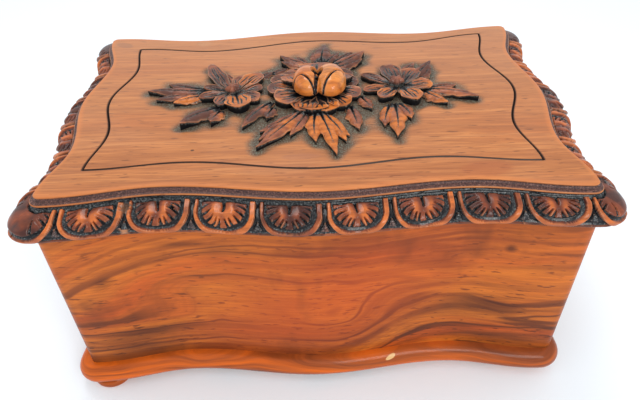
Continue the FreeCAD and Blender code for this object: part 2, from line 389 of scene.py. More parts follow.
walnut = {
    "black": (0.006, 0.006, 0.008), "deep": (0.075, 0.020, 0.010), "dark": (0.17, 0.042, 0.013),
    "mid": (0.42, 0.090, 0.014), "red": (0.52, 0.088, 0.014), "light": (0.60, 0.160, 0.020),
    "bright": (0.66, 0.155, 0.028),
}
wallFigure = {
    # the rise of the figure, in metres: the share of y and the start of its run along the walls, its
    # height and steepness above, its height and length below, and where the lower turns into the upper
    "round": 0.7, "start": 0.0588, "upper": 0.027, "steep": 25.0, "offset": 3.18, "lower": 0.028,
    "length": 0.07, "between": (0.042, 0.078),
    # how far noise bends the streaks and the bands, and how far the figure stretches along the wall
    "bend": 0.035, "bandBend": 0.010, "stretch": 0.12,
    # dark bands: (level, half width, strength)
    "bands": [
        (0.0835, 0.0016, 0.75), (0.070, 0.0018, 0.85), (0.0625, 0.0012, 0.4), (0.053, 0.0034, 0.5),
        (0.039, 0.0034, 0.5), (0.030, 0.0012, 0.5), (0.0195, 0.0055, 0.85), (0.006, 0.003, 0.5),
    ],
    # dark pools of the front wall: (middle, half sizes, turn, strength)
    "pools": [
        ((-0.09, -0.084, 0.037), (0.020, 0.05, 0.005), -0.1, 0.8),
        ((-0.097, -0.084, 0.024), (0.014, 0.05, 0.009), 0.2, 0.6),
        ((-0.105, -0.084, 0.079), (0.005, 0.05, 0.003), -0.5, 0.75),
        ((0.084, -0.084, 0.051), (0.016, 0.05, 0.006), 0.05, 0.7),
        ((0.10, -0.084, 0.023), (0.03, 0.05, 0.005), 0.05, 0.8),
        ((-0.065, -0.084, 0.100), (0.012, 0.05, 0.002), 0.0, 0.6),
    ],
    # (middle, half sizes, softness) of the pin knot, and with its turn the redder patch
    "knot": ((0.0935, -0.0845, 0.0925), (0.0026, 0.01, 0.0024), 0.9),
    "patch": ((0.005, -0.084, 0.062), (0.060, 0.05, 0.030), 1.4, -0.5),
}


def wallWalnut():
    # figured walnut. Its streaks follow the height less a rise, which grows from the left end above and
    # from the middle below; dark bands lie at levels of that, under pools, fine grain, pores and a knot
    material, tree, shader = startMaterial("wall_walnut")
    place = objectPlace(tree)
    x, y, z = add(tree, "SeparateXYZ", Vector=place).outputs
    figure = wallFigure
    run = mathNode(tree, "ADD", x, mathNode(tree, "MULTIPLY_ADD", y, figure["round"], figure["start"]))
    fall = mathNode(tree, "MULTIPLY_ADD", run, -figure["steep"], -figure["offset"])
    fade = mathNode(tree, "EXPONENT", mathNode(tree, "MINIMUM", fall, 0.0))
    upper = mathNode(tree, "MULTIPLY_ADD", fade, -figure["upper"], figure["upper"])
    lower = ranged(tree, run, 0.0, figure["length"], 0.0, figure["lower"], "SMOOTHSTEP")
    share = ranged(tree, z, *figure["between"], ease="SMOOTHSTEP")
    rise = mathNode(tree, "MULTIPLY_ADD", mathNode(tree, "SUBTRACT", upper, lower), share, lower)
    warp = noise(tree, place, (9, 9, 14))
    level = mathNode(tree, "SUBTRACT", z, rise)
    bent = swayed(tree, level, warp, figure["bend"])
    level = swayed(tree, level, warp, figure["bandBend"])
    flow = add(tree, "CombineXYZ", X=times(tree, x, figure["stretch"]), Y=times(tree, y, figure["stretch"]),
               Z=bent).outputs[0]
    broad = noise(tree, flow, (40, 40, 38), 3.0, 0.55)
    streaks = noise(tree, flow, (60, 60, 210), 6.0, 0.68)
    lines = noise(tree, flow, (30, 30, 62), 2.0, 0.4)
    colour = ramp(tree, broad, [(0.30, walnut["mid"]), (0.48, walnut["light"]), (0.62, walnut["red"]),
                                (0.75, walnut["mid"])])
    darker = ramp(tree, streaks, [(0.40, 0.0), (0.54, 0.4), (0.66, 1.0)])
    colour = tinted(tree, colour, darker, 0.75, walnut["dark"])
    thin = ramp(tree, lines, [(0.475, 0.0), (0.495, 1.0), (0.505, 1.0), (0.53, 0.0)], "EASE")
    broken = ramp(tree, noise(tree, place, (14, 14, 20), 1.0), [(0.38, 0.0), (0.55, 0.9)])
    colour = tinted(tree, colour, thin, broken, walnut["deep"])
    patchy = noise(tree, place, (26, 26, 30), 2.0, shift=(2.2, 0, 0.4))
    patchy = ramp(tree, patchy, [(0.34, 0.25), (0.58, 1.0)])
    for height, half, weight in figure["bands"]:
        far = mathNode(tree, "ABSOLUTE", mathNode(tree, "SUBTRACT", level, height))
        band = ranged(tree, far, half, half * 0.2, 0.0, weight, "SMOOTHSTEP")
        band = times(tree, band, patchy, ramp(tree, streaks, [(0.32, 0.55), (0.55, 1.0)]))
        colour = mixed(tree, band, colour, walnut["deep"])
    pool = ramp(tree, noise(tree, flow, (90, 90, 26), shift=(3.1, 0, 1.7)), [(0.56, 0.0), (0.72, 0.75)])
    for centre, radii, turn, weight in figure["pools"]:
        here = times(tree, spot(tree, place, centre, radii, 1.3, turn), weight)
        pool = mathNode(tree, "MAXIMUM", pool, here)
    pool = times(tree, pool, ramp(tree, streaks, [(0.3, 0.45), (0.6, 1.0)]))
    colour = mixed(tree, pool, colour, walnut["deep"])
    fine, dashes = grainOf(tree, place, (55, 55, 900), (150, 150, 700), 0.615)
    colour = streaked(tree, colour, fine, 0.40, 0.62, 0.42, walnut["dark"])
    colour = tinted(tree, colour, dashes, 0.8, walnut["deep"])
    colour = mixed(tree, spot(tree, place, *figure["knot"]), colour, walnut["black"])
    # the upper part is brighter, but not in the pools
    light = mathNode(tree, "SUBTRACT", ranged(tree, z, 0.03, 0.11, 0.0, 0.3), times(tree, pool, 0.3))
    colour = mixed(tree, light, colour, walnut["bright"])
    colour = tinted(tree, colour, spot(tree, place, *figure["patch"]), 0.5, (0.50, 0.062, 0.014))
    blots = noise(tree, place, (38, 38, 22), 3.0, 0.6, shift=(0.7, 0, 0.2))
    colour = mixed(tree, ramp(tree, blots, [(0.56, 0.0), (0.74, 0.45)]), colour, walnut["deep"])
    bump(tree, shader, mathNode(tree, "SUBTRACT", fine, dashes), 0.00008, 0.5)
    finish(tree, shader, colour, 0.34, 0.06, 0.10, 0.12)
    return material


lidTones = {
    "broad": [(0.3, (0.44, 0.150, 0.052)), (0.5, (0.54, 0.195, 0.058)), (0.7, (0.50, 0.150, 0.040))],
    "streak": (0.27, 0.080, 0.026), "pale": (0.62, 0.27, 0.10), "grain": (0.24, 0.075, 0.028),
    "pore": (0.11, 0.032, 0.014), "blotch": (0.42, 0.20, 0.115), "paintedSheen": (0.52, 0.26, 0.145),
    "wearAndHighlight": (0.62, 0.20, 0.06), "line": (0.012, 0.008, 0.008),
    "cove": [(0.35, (0.030, 0.017, 0.018)), (0.58, (0.125, 0.058, 0.048)), (0.72, (0.27, 0.15, 0.12))],
    "ground": [(0.38, (0.012, 0.012, 0.011)), (0.5, (0.06, 0.062, 0.05)), (0.64, (0.20, 0.205, 0.155))],
}
lidMarks = [
    # (middle, half sizes, turn, strength, colour): redder patch, smudge, ring stain as a dark disc
    # under a pale one, bruise, speck
    ((0.078, -0.0685, 0.1325), (0.012, 0.0055, 1), 0.1, 0.5, (0.36, 0.10, 0.035)),
    ((-0.116, 0.068, 0.1325), (0.006, 0.003, 1), -0.5, 0.45, (0.12, 0.06, 0.05)),
    ((-0.066, 0.0675, 0.1325), (0.0055, 0.0048, 1), 0.0, 0.22, (0.30, 0.15, 0.06)),
    ((-0.066, 0.0675, 0.1325), (0.0040, 0.0035, 1), 0.0, 0.22, (0.60, 0.33, 0.17)),
    ((-0.006, -0.055, 0.1325), (0.009, 0.0022, 1), 0.05, 0.3, (0.26, 0.10, 0.07)),
    ((-0.0575, -0.0475, 0.1325), (0.0009, 0.0007, 1), 0.0, 0.85, (0.03, 0.012, 0.01)),
]


def lidWalnut():
    # straight fine grain along the lid, satin, paler towards the back as painted sheen; the attribute
    # "ground" brings in the dark stippled stain round the carving, "line" the incised line, "cove" the
    # stained cove and the painted shade under the bead, and "edge" the painted highlight on the arris and the
    # bead
    material, tree, shader = startMaterial("lid_walnut")
    place = objectPlace(tree)
    warp = noise(tree, place, (5, 22, 5), 2.0)
    bent = shifted(tree, place, Y=swayed(tree, 0.0, warp, 0.02))
    colour = ramp(tree, noise(tree, bent, (7, 40, 40)), lidTones["broad"])
    streaks = noise(tree, bent, (12, 260, 260), 5.0, 0.62)
    colour = streaked(tree, colour, streaks, 0.42, 0.62, 0.5, lidTones["streak"])
    pale = ramp(tree, streaks, [(0.3, 1.0), (0.46, 0.0)])
    colour = tinted(tree, colour, pale, 0.35, lidTones["pale"])
    fine, dashes = grainOf(tree, place, (60, 1100, 1100), (110, 800, 800), 0.63)
    colour = streaked(tree, colour, fine, 0.42, 0.6, 0.45, lidTones["grain"])
    colour = tinted(tree, colour, dashes, 0.8, lidTones["pore"])
    blotch = noise(tree, place, (16, 22, 16), 2.0)
    colour = streaked(tree, colour, blotch, 0.5, 0.75, 0.22, lidTones["blotch"])
    for centre, radii, turn, weight, tone in lidMarks:
        colour = tinted(tree, colour, spot(tree, place, centre, radii, 0.35, turn, "Z"), weight, tone)
    depth = add(tree, "SeparateXYZ", Vector=place).outputs[1]
    # paler and greyer towards the back: painted sheen
    colour = mixed(tree, ranged(tree, depth, -0.07, 0.08, 0.0, 0.42), colour, lidTones["paintedSheen"])
    # lighter on the arris and the bead: painted highlight
    colour = tinted(tree, colour, attributeOf(tree, "edge"), 0.55, lidTones["wearAndHighlight"])
    speck = noise(tree, place, (1500, 1500, 1500), 2.0, 0.7)
    # the stained cove, with painted shade under the bead
    cove = attributeOf(tree, "cove")
    colour = mixed(tree, cove, colour, ramp(tree, speck, lidTones["cove"]))
    ground = times(tree, attributeOf(tree, "ground"), ramp(tree, speck, [(0.25, 0.75), (0.65, 1.0)]))
    colour = mixed(tree, ground, colour, ramp(tree, speck, lidTones["ground"]))
    colour = mixed(tree, attributeOf(tree, "line"), colour, lidTones["line"])
    stipple = times(tree, speck, mathNode(tree, "MULTIPLY_ADD", ground, 3.0, cove))
    height = mathNode(tree, "MULTIPLY_ADD", fine, 0.35, stipple)
    bump(tree, shader, mathNode(tree, "MULTIPLY_ADD", dashes, -0.4, height), 0.0002, 0.6)
    finish(tree, shader, colour, 0.42, 0.04, 0.25, 0.2)
    return material


def carvedWalnut(name, tones, dull, gloss):
    # hand-carved walnut, brown to orange by the attribute "tone", the orange partly painted highlight; where
    # the wood is low, dull stain, and black as painted shadow under the undercuts and in the deepest hollows;
    # pale where "edge" is: painted highlight on crests and rims, real wear on the damaged places
    material, tree, shader = startMaterial(name)
    place = objectPlace(tree)
    raised, edge, tone = (attributeOf(tree, key) for key in ("raised", "edge", "tone"))
    blotch = noise(tree, place, (85, 85, 85))
    streaks = noise(tree, place, (70, 420, 420), 4.0, 0.6)
    speck = noise(tree, place, (1300, 1300, 1300), 2.0, 0.65)
    wood = ramp(tree, swayed(tree, tone, blotch, 1.7), list(zip((0.12, 0.42, 0.82), tones)))
    wood = streaked(tree, wood, streaks, 0.42, 0.68, 0.55, (0.10, 0.026, 0.011))
    stainAndShadow = ramp(tree, speck, [(0.38, (0.006, 0.006, 0.007)), (0.54, dull), (0.70, (0.19, 0.20, 0.195))])
    # black where the wood is hardly raised: painted shadow on the undersides, the skirts and the deepest
    # hollows
    stainAndShadow = mixed(tree, ramp(tree, raised, [(0.06, 0.0), (0.3, 1.0)]), walnut["black"], stainAndShadow)
    uneven = swayed(tree, swayed(tree, raised, speck, 0.25), blotch, 0.2)
    colour = mixed(tree, ramp(tree, uneven, [(0.40, 0.0), (0.64, 1.0)]), stainAndShadow, wood)
    # paler where "edge" is: painted highlight on crests and rims, real wear on the damaged places of the
    # border
    highlightAndWearShare = ramp(tree, blotch, [(0.3, 0.35), (0.7, 0.95)])
    colour = tinted(tree, colour, edge, highlightAndWearShare, (0.66, 0.30, 0.15))
    height = mathNode(tree, "MULTIPLY_ADD", speck, 0.7, times(tree, streaks, 0.5))
    bump(tree, shader, height, 0.00016, 0.7)
    finish(tree, shader, colour, 0.34, gloss, 0.14, 0.12)
    return material


baseTones = {
    "broad": [(0.33, (0.13, 0.030, 0.012)), (0.43, (0.34, 0.078, 0.020)), (0.6, (0.70, 0.130, 0.010)),
              (0.75, (0.36, 0.070, 0.014))],
    # the pale chip: (middle, half sizes, softness, turn), and its colour
    "chipPlace": ((0.0396, -0.0875, 0.0150), (0.0028, 0.01, 0.0010), 0.25, -0.3),
    "chip": (0.72, 0.45, 0.20),
}


def baseWalnut():
    # redder walnut with long streaks round the edge, polished
    material, tree, shader = startMaterial("base_walnut")
    place = objectPlace(tree)
    moved = shifted(tree, place, Z=times(tree, noise(tree, place, (12, 12, 30), 2.0), 0.03))
    colour = ramp(tree, noise(tree, moved, (9, 9, 130)), baseTones["broad"])
    streaks = noise(tree, moved, (26, 26, 520), 4.0, 0.6)
    colour = streaked(tree, colour, streaks, 0.45, 0.7, 0.5, walnut["deep"])
    colour = mixed(tree, spot(tree, place, *baseTones["chipPlace"]), colour, baseTones["chip"])
    bump(tree, shader, streaks, 0.00006, 0.5)
    finish(tree, shader, colour, 0.30, 0.18, 0.08, 0.08)
    return material


velvet = {
    "tones": [(0.35, (0.055, 0.004, 0.010)), (0.65, (0.125, 0.010, 0.020))], "pile": (0.03, 0.002, 0.006),
    "sheen": 0.6, "sheenRoughness": 0.35, "sheenTint": (1.0, 0.55, 0.6, 1),
}


def velvetCloth():
    # wine-red velvet: darker where the pile is brushed over, a soft sheen, tiny tufts
    material, tree, shader = startMaterial("velvet")
    place = objectPlace(tree)
    brushed = noise(tree, place, (28, 28, 28), 3.0, 0.5, 0.8)
    pile = noise(tree, place, (2600, 2600, 2600), 2.0)
    colour = tinted(tree, ramp(tree, brushed, velvet["tones"]), pile, 0.5, velvet["pile"])
    bump(tree, shader, pile, 0.0003, 0.6)
    finish(tree, shader, colour, 0.85, 0.0, 0.1, 0.2)
    shader.inputs["Sheen Weight"].default_value = velvet["sheen"]
    shader.inputs["Sheen Roughness"].default_value = velvet["sheenRoughness"]
    shader.inputs["Sheen Tint"].default_value = velvet["sheenTint"]
    return material


def agedMetal(name, bright, dull, roughness):
    # old metal: dull rougher patches over a brushed bright colour
    material, tree, shader = startMaterial(name)
    place = objectPlace(tree)
    patches = noise(tree, place, (260, 260, 260), 4.0, 0.6)
    brush = noise(tree, place, (400, 4000, 4000), 2.0)
    shader.inputs["Metallic"].default_value = 1.0
    rough = ranged(tree, patches, 0.3, 0.7, roughness + 0.2, roughness)
    tree.links.new(rough, shader.inputs["Roughness"])
    bump(tree, shader, brush, 0.00004, 0.5)
    finish(tree, shader, ramp(tree, patches, [(0.38, dull), (0.6, bright)]))
    return material


lidMaterial = lidWalnut()
wallMaterial = wallWalnut()
# (three tones of the wood, dull stain, gloss) of the carved pieces
borderMaterial = carvedWalnut("border_walnut", [(0.055, 0.016, 0.012), (0.22, 0.050, 0.020),
                                                (0.56, 0.140, 0.030)], (0.045, 0.053, 0.058), 0.35)
sprayMaterial = carvedWalnut("spray_walnut", [(0.10, 0.042, 0.032), (0.30, 0.100, 0.055),
                                              (0.60, 0.17, 0.030)], (0.070, 0.072, 0.066), 0.2)
budMaterial = carvedWalnut("bud_walnut", [(0.40, 0.09, 0.015), (0.62, 0.17, 0.025),
                                          (0.72, 0.25, 0.05)], (0.03, 0.022, 0.02), 0.6)
baseMaterial = baseWalnut()
velvetMaterial = velvetCloth()
brassMaterial = agedMetal("aged_brass", (0.62, 0.42, 0.16), (0.20, 0.12, 0.05), 0.28)
steelMaterial = agedMetal("dull_steel", (0.42, 0.40, 0.38), (0.14, 0.11, 0.09), 0.35)
print("materials ready")

# Carved spray

leafShape = {
    # outline: widest place along the blade, share of the width at its foot, bluntness, depth of the teeth
    "belly": 0.45, "neck": 0.4, "blunt": 0.0, "teeth": 0.22,
    # depth of the midrib, side veins, fall to the sides, depth of the fine lines and of the dish, and
    # how far the painted shade at the root reaches
    "groove": 1.1, "veins": 4, "droop": 0.5, "lines": 0.0, "cup": 0.0, "root": 0.34,
}
petalShape = {
    "neck": 0.3, "blunt": 0.75, "teeth": 0.0, "groove": 0.45, "veins": 0, "droop": -0.06, "lines": 0.34,
    "cup": 0.7, "root": 0.34,
}
bladeGrid = {
    "rows": 30, "cols": 17, "under": 0.9,
    # the sides below the rim: (share of the half width, drop, how raised in colour, the low values painting
    # them dark as shadow)
    "skirt": [(0.99, 0.4, 0.5), (0.9, 1.3, 0.1), (0.78, 99.0, 0.0)],
}


def blade(foot, tip, width, low, high, bend, belly, tone, shape):
    # one leaf lobe or petal over its place along, t from 0 to 1, and across, s from -1 to 1. Its half
    # width grows by a sine from the neck to the belly and shrinks to the tip. Its height is a rise from
    # the foot to the tip and a low arch, less the fall to the sides, midrib, veins, lines and dish
    foot, tip = np.array(foot, float), np.array(tip, float)
    length = np.linalg.norm(tip - foot)
    along = (tip - foot) / length
    side = np.array([-along[1], along[0]])
    rows = bladeGrid["rows"]
    t = np.linspace(0, 1, rows)[:, None]
    s = np.linspace(-1, 1, bladeGrid["cols"])[None, :]
    near = shape["neck"] + (1 - shape["neck"]) * np.sin(np.pi / 2 * np.clip(t / belly, 0, 1))
    rest = np.clip((t - belly) / (1 - belly), 0, 1)
    far = (1 - shape["blunt"]) * (1 - rest**1.5) + shape["blunt"] * np.sqrt(np.clip(1 - rest**2, 0, 1))
    half = width / 2 * np.where(t < belly, near, far) + 0.12
    notches = (1 - np.abs(np.sin(np.pi * (3.2 * t + 0.2)))) * easeStep(t, 0.1, 0.3)
    half = half * (1 - shape["teeth"] * notches)
    centre = foot + (tip - foot) * t + side * bend * 4 * t * (1 - t)
    across = s * half * (1 + 0.06 * np.sin(t * 17 + width * 3 + s * 2))
    x = centre[:, :1] + side[0] * across
    y = centre[:, 1:] + side[1] * across
    top = (low + (high - low) * t**1.3) * 0.64 + np.sin(np.pi * t) * 0.04 * length
    fall = shape["droop"] * np.minimum(half, 5) * (0.55 * np.abs(s) ** 2 + 0.45 * np.abs(s) ** 5)
    if shape["lines"]:
        # petals wave a little towards their tips
        fall = fall + 0.25 * np.sin(2.3 * s + 0.7 * width + tip[0]) * easeStep(t, 0.3, 0.8)
    rib = np.exp(-(across / 0.55) ** 2) * np.clip(1.6 - 1.5 * t, 0, 1)
    vein = 0
    if shape["veins"]:
        slant = t * shape["veins"] - np.abs(s) * 0.55
        vein = np.clip(np.cos(2 * np.pi * slant), 0, 1) ** 6 * np.clip(np.abs(s) * 3, 0, 1)
    comb = shape["lines"] * np.clip(np.cos(s * 19 + 2.0 * t), 0, 1) ** 3
    comb = comb * easeStep(t, 0.15, 0.4) * (1 - easeStep(t, 0.75, 0.92))
    dish = np.sin(np.pi * np.clip(t * 1.05, 0, 1)) ** 0.7 * (1 - s**2)
    carved = shape["groove"] * (rib + 0.32 * vein) + comb + shape["cup"] * dish
    z = heights["top"] + top - fall - carved
    # the midrib, veins, fine lines, dish, root and the sides near the root are darkened: painted shade
    dark = np.clip(1.1 * rib + 0.5 * vein, 0, 1)
    rootDark = easeStep(shape["root"] - t, 0, 0.3)
    sideDark = easeStep(np.abs(s), 0.72, 1) * (1 - easeStep(t, 0.4, 0.7))
    raised = 1 - dark - 3.2 * comb - 0.9 * rootDark - 0.75 * sideDark - 0.15 * dish * (shape["cup"] > 0)
    # lighter on the rims and the tips: painted highlight
    wearAndHighlight = 0.8 * np.maximum(np.clip((np.abs(s) - 0.86) / 0.14, 0, 1), np.clip((t - 0.93) / 0.07, 0, 1))
    left, right = [], []
    for share, drop, shade in bladeGrid["skirt"]:
        for k, columns in ((0, left), (-1, right)):
            out = across[:, k] * share
            down = np.maximum(z[:, k] - drop, heights["top"] - bladeGrid["under"])
            columns.append(np.stack([centre[:, 0] + side[0] * out, centre[:, 1] + side[1] * out, down,
                                     np.full(rows, shade), np.zeros(rows)], -1))
    face = np.stack([x, y, z, raised, wearAndHighlight], -1)
    grid = np.concatenate([np.stack(left[::-1], 1), face, np.stack(right, 1)], 1)
    count = grid.shape[1]
    flat = grid.reshape(-1, 5)
    caps = [list(range(count))[::-1], list(range((rows - 1) * count, rows * count))]
    return shell(flat[:, :3], gridFaces(rows, count, wrapCols=True), caps, raised=flat[:, 3],
                 edge=flat[:, 4], tone=np.full(len(flat), tone))


leafLobes = [
    # (foot, tip, width, height at the foot, height at the tip, bend sideways, tone from brown to orange, the
    # orange of the lobes that face the front partly painted highlight)
    # top leaf and the pair beside it, behind the rose
    ((6, 36), (9, 60), 13, 1.5, 1.5, 0.5, 0.15), ((5, 36), (1, 50), 7, 1.2, 1.0, 0, 0.15),
    ((8, 36), (17, 49), 7, 1.2, 1.2, 0, 0.15), ((2, 30), (-18, 43), 8, 2.0, 4.5, 1.0, 0.2),
    ((0, 28), (-17, 35), 9, 2.5, 4.5, -1.0, 0.25), ((-2, 34), (-8, 44), 6, 1.5, 2.0, 0, 0.1),
    ((11, 30), (32, 45), 11, 2.5, 5.5, -1.5, 0.3), ((14, 36), (25, 47), 6, 1.8, 3.0, 0, 0.15),
    ((13, 28), (30, 36), 8, 2.5, 4.5, -1.0, 0.3),
    # big leaf at the lower left and its side lobes
    ((-3, -14), (-27, -49), 9, 2.2, 3.5, 1.5, 0.45), ((-6, -17), (-26, -35), 7, 1.8, 2.6, 1.0, 0.3),
    ((-3, -18), (-11, -39), 7, 2.0, 2.8, 0.5, 0.25), ((-12, -22), (-26, -42), 6, 1.5, 2.2, 0, 0.4),
    # bright leaf at the bottom
    ((3, -17), (11, -56), 9, 2.8, 3.0, 0.6, 0.85), ((2, -19), (1.5, -45), 9, 2.8, 2.8, -1.0, 0.8),
    ((5, -20), (16, -45), 9, 2.8, 2.8, 1.2, 0.8), ((8, -28), (18, -40), 6, 2.0, 2.0, 0, 0.75),
    # small leaves either side of the rose
    ((20, -13), (23, -35), 9, 1.8, 2.4, 0.0, 0.35), ((26, -3), (31, -17), 8, 1.5, 3.4, 0, 0.4),
    ((-21, -7), (-35, -31), 8, 1.8, 3.0, -1.2, 0.35), ((-20, -12), (-23, -24), 8, 1.5, 3.8, -0.5, 0.25),
    ((-23, 25), (-13, 30), 6, 1.0, 1.5, 0, 0.05), ((-30, 20), (-22, 27), 7, 1.0, 1.2, 0, 0.05),
    # far left leaf
    ((-56, 6), (-89, 7), 9, 2.0, 3.8, 1.0, 0.25), ((-60, 9), (-79, 15), 8, 1.6, 2.0, 1.0, 0.15),
    ((-57, 1), (-73, -6), 9, 2.2, 3.4, -0.8, 0.75), ((-62, 3), (-83, -2), 8, 1.8, 3.0, -0.5, 0.3),
    # leaf below the left blossom
    ((-49, -11), (-66, -29), 11, 1.8, 6.2, -1.0, 0.25), ((-47, -14), (-51, -27), 9, 1.8, 5.2, -0.5, 0.3),
    ((-51, -10), (-63, -20), 7, 1.6, 2.6, 0, 0.15),
    # upper right leaf and far right leaf
    ((55, 14), (69, 31), 10, 1.8, 5.0, -0.8, 0.2), ((60, 14), (68, 23), 7, 1.8, 4.6, 0, 0.2),
    ((50, 20), (60, 32), 7, 1.5, 2.0, 0, 0.1), ((60, 2), (88, -9), 8, 2.0, 4.4, 1.2, 0.4),
    ((60, 0), (71, -13), 9, 2.4, 3.4, -0.8, 0.7), ((64, 4), (79, 6), 7, 1.5, 1.8, 0, 0.2),
    ((66, 0), (80, -1), 6, 1.8, 2.2, 0, 0.3),
    # lower right leaf
    ((43, -12), (41, -43), 10, 2.4, 3.6, 0.8, 0.8), ((41, -13), (36, -33), 8, 2.2, 2.6, -0.8, 0.7),
    ((45, -12), (50, -27), 8, 2.2, 3.0, 1.2, 0.75),
]
# petals: as the lobes, with the place of the widest line before the tone
blossomPetals = {
    "left_blossom": [
        ((-44, 5), (-58, 34), 9, 2.0, 4.6, 1.0, 0.5, 0.2), ((-44, 6), (-49, 23), 8, 2.4, 3.0, 0, 0.55, 0.3),
        ((-41, 6), (-38, 22), 9, 2.6, 2.6, 0, 0.6, 0.2), ((-40, 6), (-28, 22), 11, 2.8, 4.2, 0, 0.62, 0.4),
        ((-38, 3), (-27, 9), 9, 2.6, 3.4, 0, 0.62, 0.25), ((-39, 2), (-28, -6), 10, 2.8, 3.8, 0, 0.62, 0.4),
        ((-41, 2), (-37, -15), 14, 3.2, 6.0, 0, 0.64, 0.85), ((-44, 1), (-49, -11), 9, 2.8, 4.2, 0, 0.6, 0.4),
        ((-46, 2), (-60, -2), 7, 2.8, 3.6, 0, 0.6, 0.35), ((-46, 5), (-59, 9), 6, 2.6, 3.4, 0, 0.6, 0.2),
    ],
    "right_blossom": [
        ((47, 8), (43, 28), 12, 2.8, 4.2, 0, 0.62, 0.25), ((50, 8), (59, 23), 11, 2.6, 3.6, 0, 0.62, 0.3),
        ((52, 5), (66, 5), 11, 3.2, 4.4, 0, 0.64, 0.75), ((49, 3), (55, -12), 12, 3.4, 5.4, 0, 0.64, 0.75),
        ((46, 3), (36, -8), 9, 3.0, 4.6, 0, 0.62, 0.7), ((43, 5), (28, 1), 7, 2.0, 3.0, 0, 0.55, 0.3),
        ((43, 9), (28, 18), 7, 2.0, 3.6, 0, 0.55, 0.2),
    ],
}
rosePetals = [
    ((2, -8), (0, -20.5), 15, 3.4, 6.6, 0, 0.7, 0.85),
    ((-6, 8), (-22, 17), 13, 2.5, 3.6, 0, 0.62, 0.2), ((-6, 3), (-24, 6), 14, 2.8, 4.4, 0, 0.66, 0.25),
    ((-4, 0), (-19, -8), 16, 3.0, 5.0, 0, 0.68, 0.3), ((0, -3), (-6, -19), 14, 2.8, 4.6, 0, 0.68, 0.6),
    ((5, -4), (7, -20), 16, 3.0, 4.6, 0, 0.7, 0.75), ((10, -2), (18, -15), 13, 2.8, 4.2, 0, 0.66, 0.45),
    ((13, 3), (26, -4), 12, 2.6, 3.8, 0, 0.66, 0.3), ((14, 9), (26, 12), 12, 2.5, 3.4, 0, 0.62, 0.2),
    ((-4, 16), (-14, 25), 13, 2.2, 3.0, 0, 0.62, 0.15), ((12, 17), (22, 24), 13, 2.2, 3.0, 0, 0.62, 0.15),
]


def leafSpray():
    return joined([blade(*lobe[:6], leafShape["belly"], lobe[6], leafShape) for lobe in leafLobes])


def petals(rows, **changes):
    # petals are blades with a blunt end, dished along the middle, with fine lines
    return joined([blade(*row, petalShape | changes) for row in rows])


knobGrid = {"rows": 14, "cols": 40, "waves": 5, "seed": 3, "rough": 0.2}


def knob(centre, radius, height):
    # a blossom's middle: height falls with the square root of 1 less the square of the share of the
    # radius, and both the radius and the height ripple round it
    rows, cols, rough = knobGrid["rows"], knobGrid["cols"], knobGrid["rough"]
    share = np.linspace(0.02, 1, rows)[:, None]
    angle = np.linspace(0, 2 * np.pi, cols, endpoint=False)[None, :]
    ripples = np.sin(knobGrid["waves"] * angle + knobGrid["seed"])
    edge = radius * (1 + rough * ripples)
    x = centre[0] + share * edge * np.cos(angle)
    y = centre[1] + share * edge * np.sin(angle)
    z = heights["top"] + centre[2] + height * np.sqrt(np.clip(1 - share**2, 0, 1))
    z = z + rough * 2 * ripples * share
    low = np.stack([x[-1], y[-1], np.full(cols, heights["top"] - bladeGrid["under"])], 1)[None]
    grid = np.concatenate([np.stack([x, y, z], -1), low])
    # darker towards its rim and black on its foot: painted shade
    raised = np.concatenate([np.ones((rows, cols)) * (1 - 0.5 * share**4), np.zeros((1, cols))])
    caps = [list(range(cols)), list(range(rows * cols, (rows + 1) * cols))[::-1]]
    flat = 0 * raised.ravel()
    return shell(grid.reshape(-1, 3), gridFaces(rows + 1, cols, wrapCols=True), caps, raised=raised.ravel(),
                 edge=flat, tone=flat + 0.3)


def distanceTo(x, y, path):
    # distance from each point to a polyline, and how far along it the nearest place is, from 0 to 1
    path = np.array(path, float)
    best, where = np.full(np.shape(x), 1e9), np.zeros(np.shape(x))
    spans = len(path) - 1
    for k in range(spans):
        a, d = path[k], path[k + 1] - path[k]
        t = np.clip(((x - a[0]) * d[0] + (y - a[1]) * d[1]) / (d @ d), 0, 1)
        far = np.hypot(x - a[0] - t * d[0], y - a[1] - t * d[1])
        where = np.where(far < best, (k + t) / spans, where)
        best = np.minimum(best, far)
    return best, where


bud = {
    "centre": (4.3, 4.6), "balls": [((-2.0, 4.4), (8.0, 12.2)), ((10.3, 4.8), (8.6, 13.6))],
    "height": 13.4, "foot": 4.8,
    "cleft": [(3.2, 3.0), (2.6, -0.8), (2.2, -4.4), (1.9, -7.0), (2.2, -10.0)],
    "leftGroove": [(-9.8, -0.5), (-9.0, 1.2), (-7.2, 2.0), (-4.9, 1.6), (-2.3, -1.2), (-0.2, -4.0),
                   (1.4, -6.4)],
    "rightGroove": [(18.4, 4.0), (17.2, 5.4), (15.4, 5.6), (13.2, 4.2), (10.7, 0.8), (8.3, -3.0), (6.6, -6.0),
                    (5.4, -8.6)],
    "pocket": (3.2, 6.6), "pocketReach": (3.5, 5.6), "rows": 70, "cols": 220,
    # the sides below the widest line: (share of the plan, drop, how raised in colour, the low values painting
    # them dark as shadow)
    "skirt": [(0.985, 0.5, 0.6), (0.92, 1.4, 0.1), (0.8, 2.6, 0.0), (0.66, 5.7, 0.0)],
}


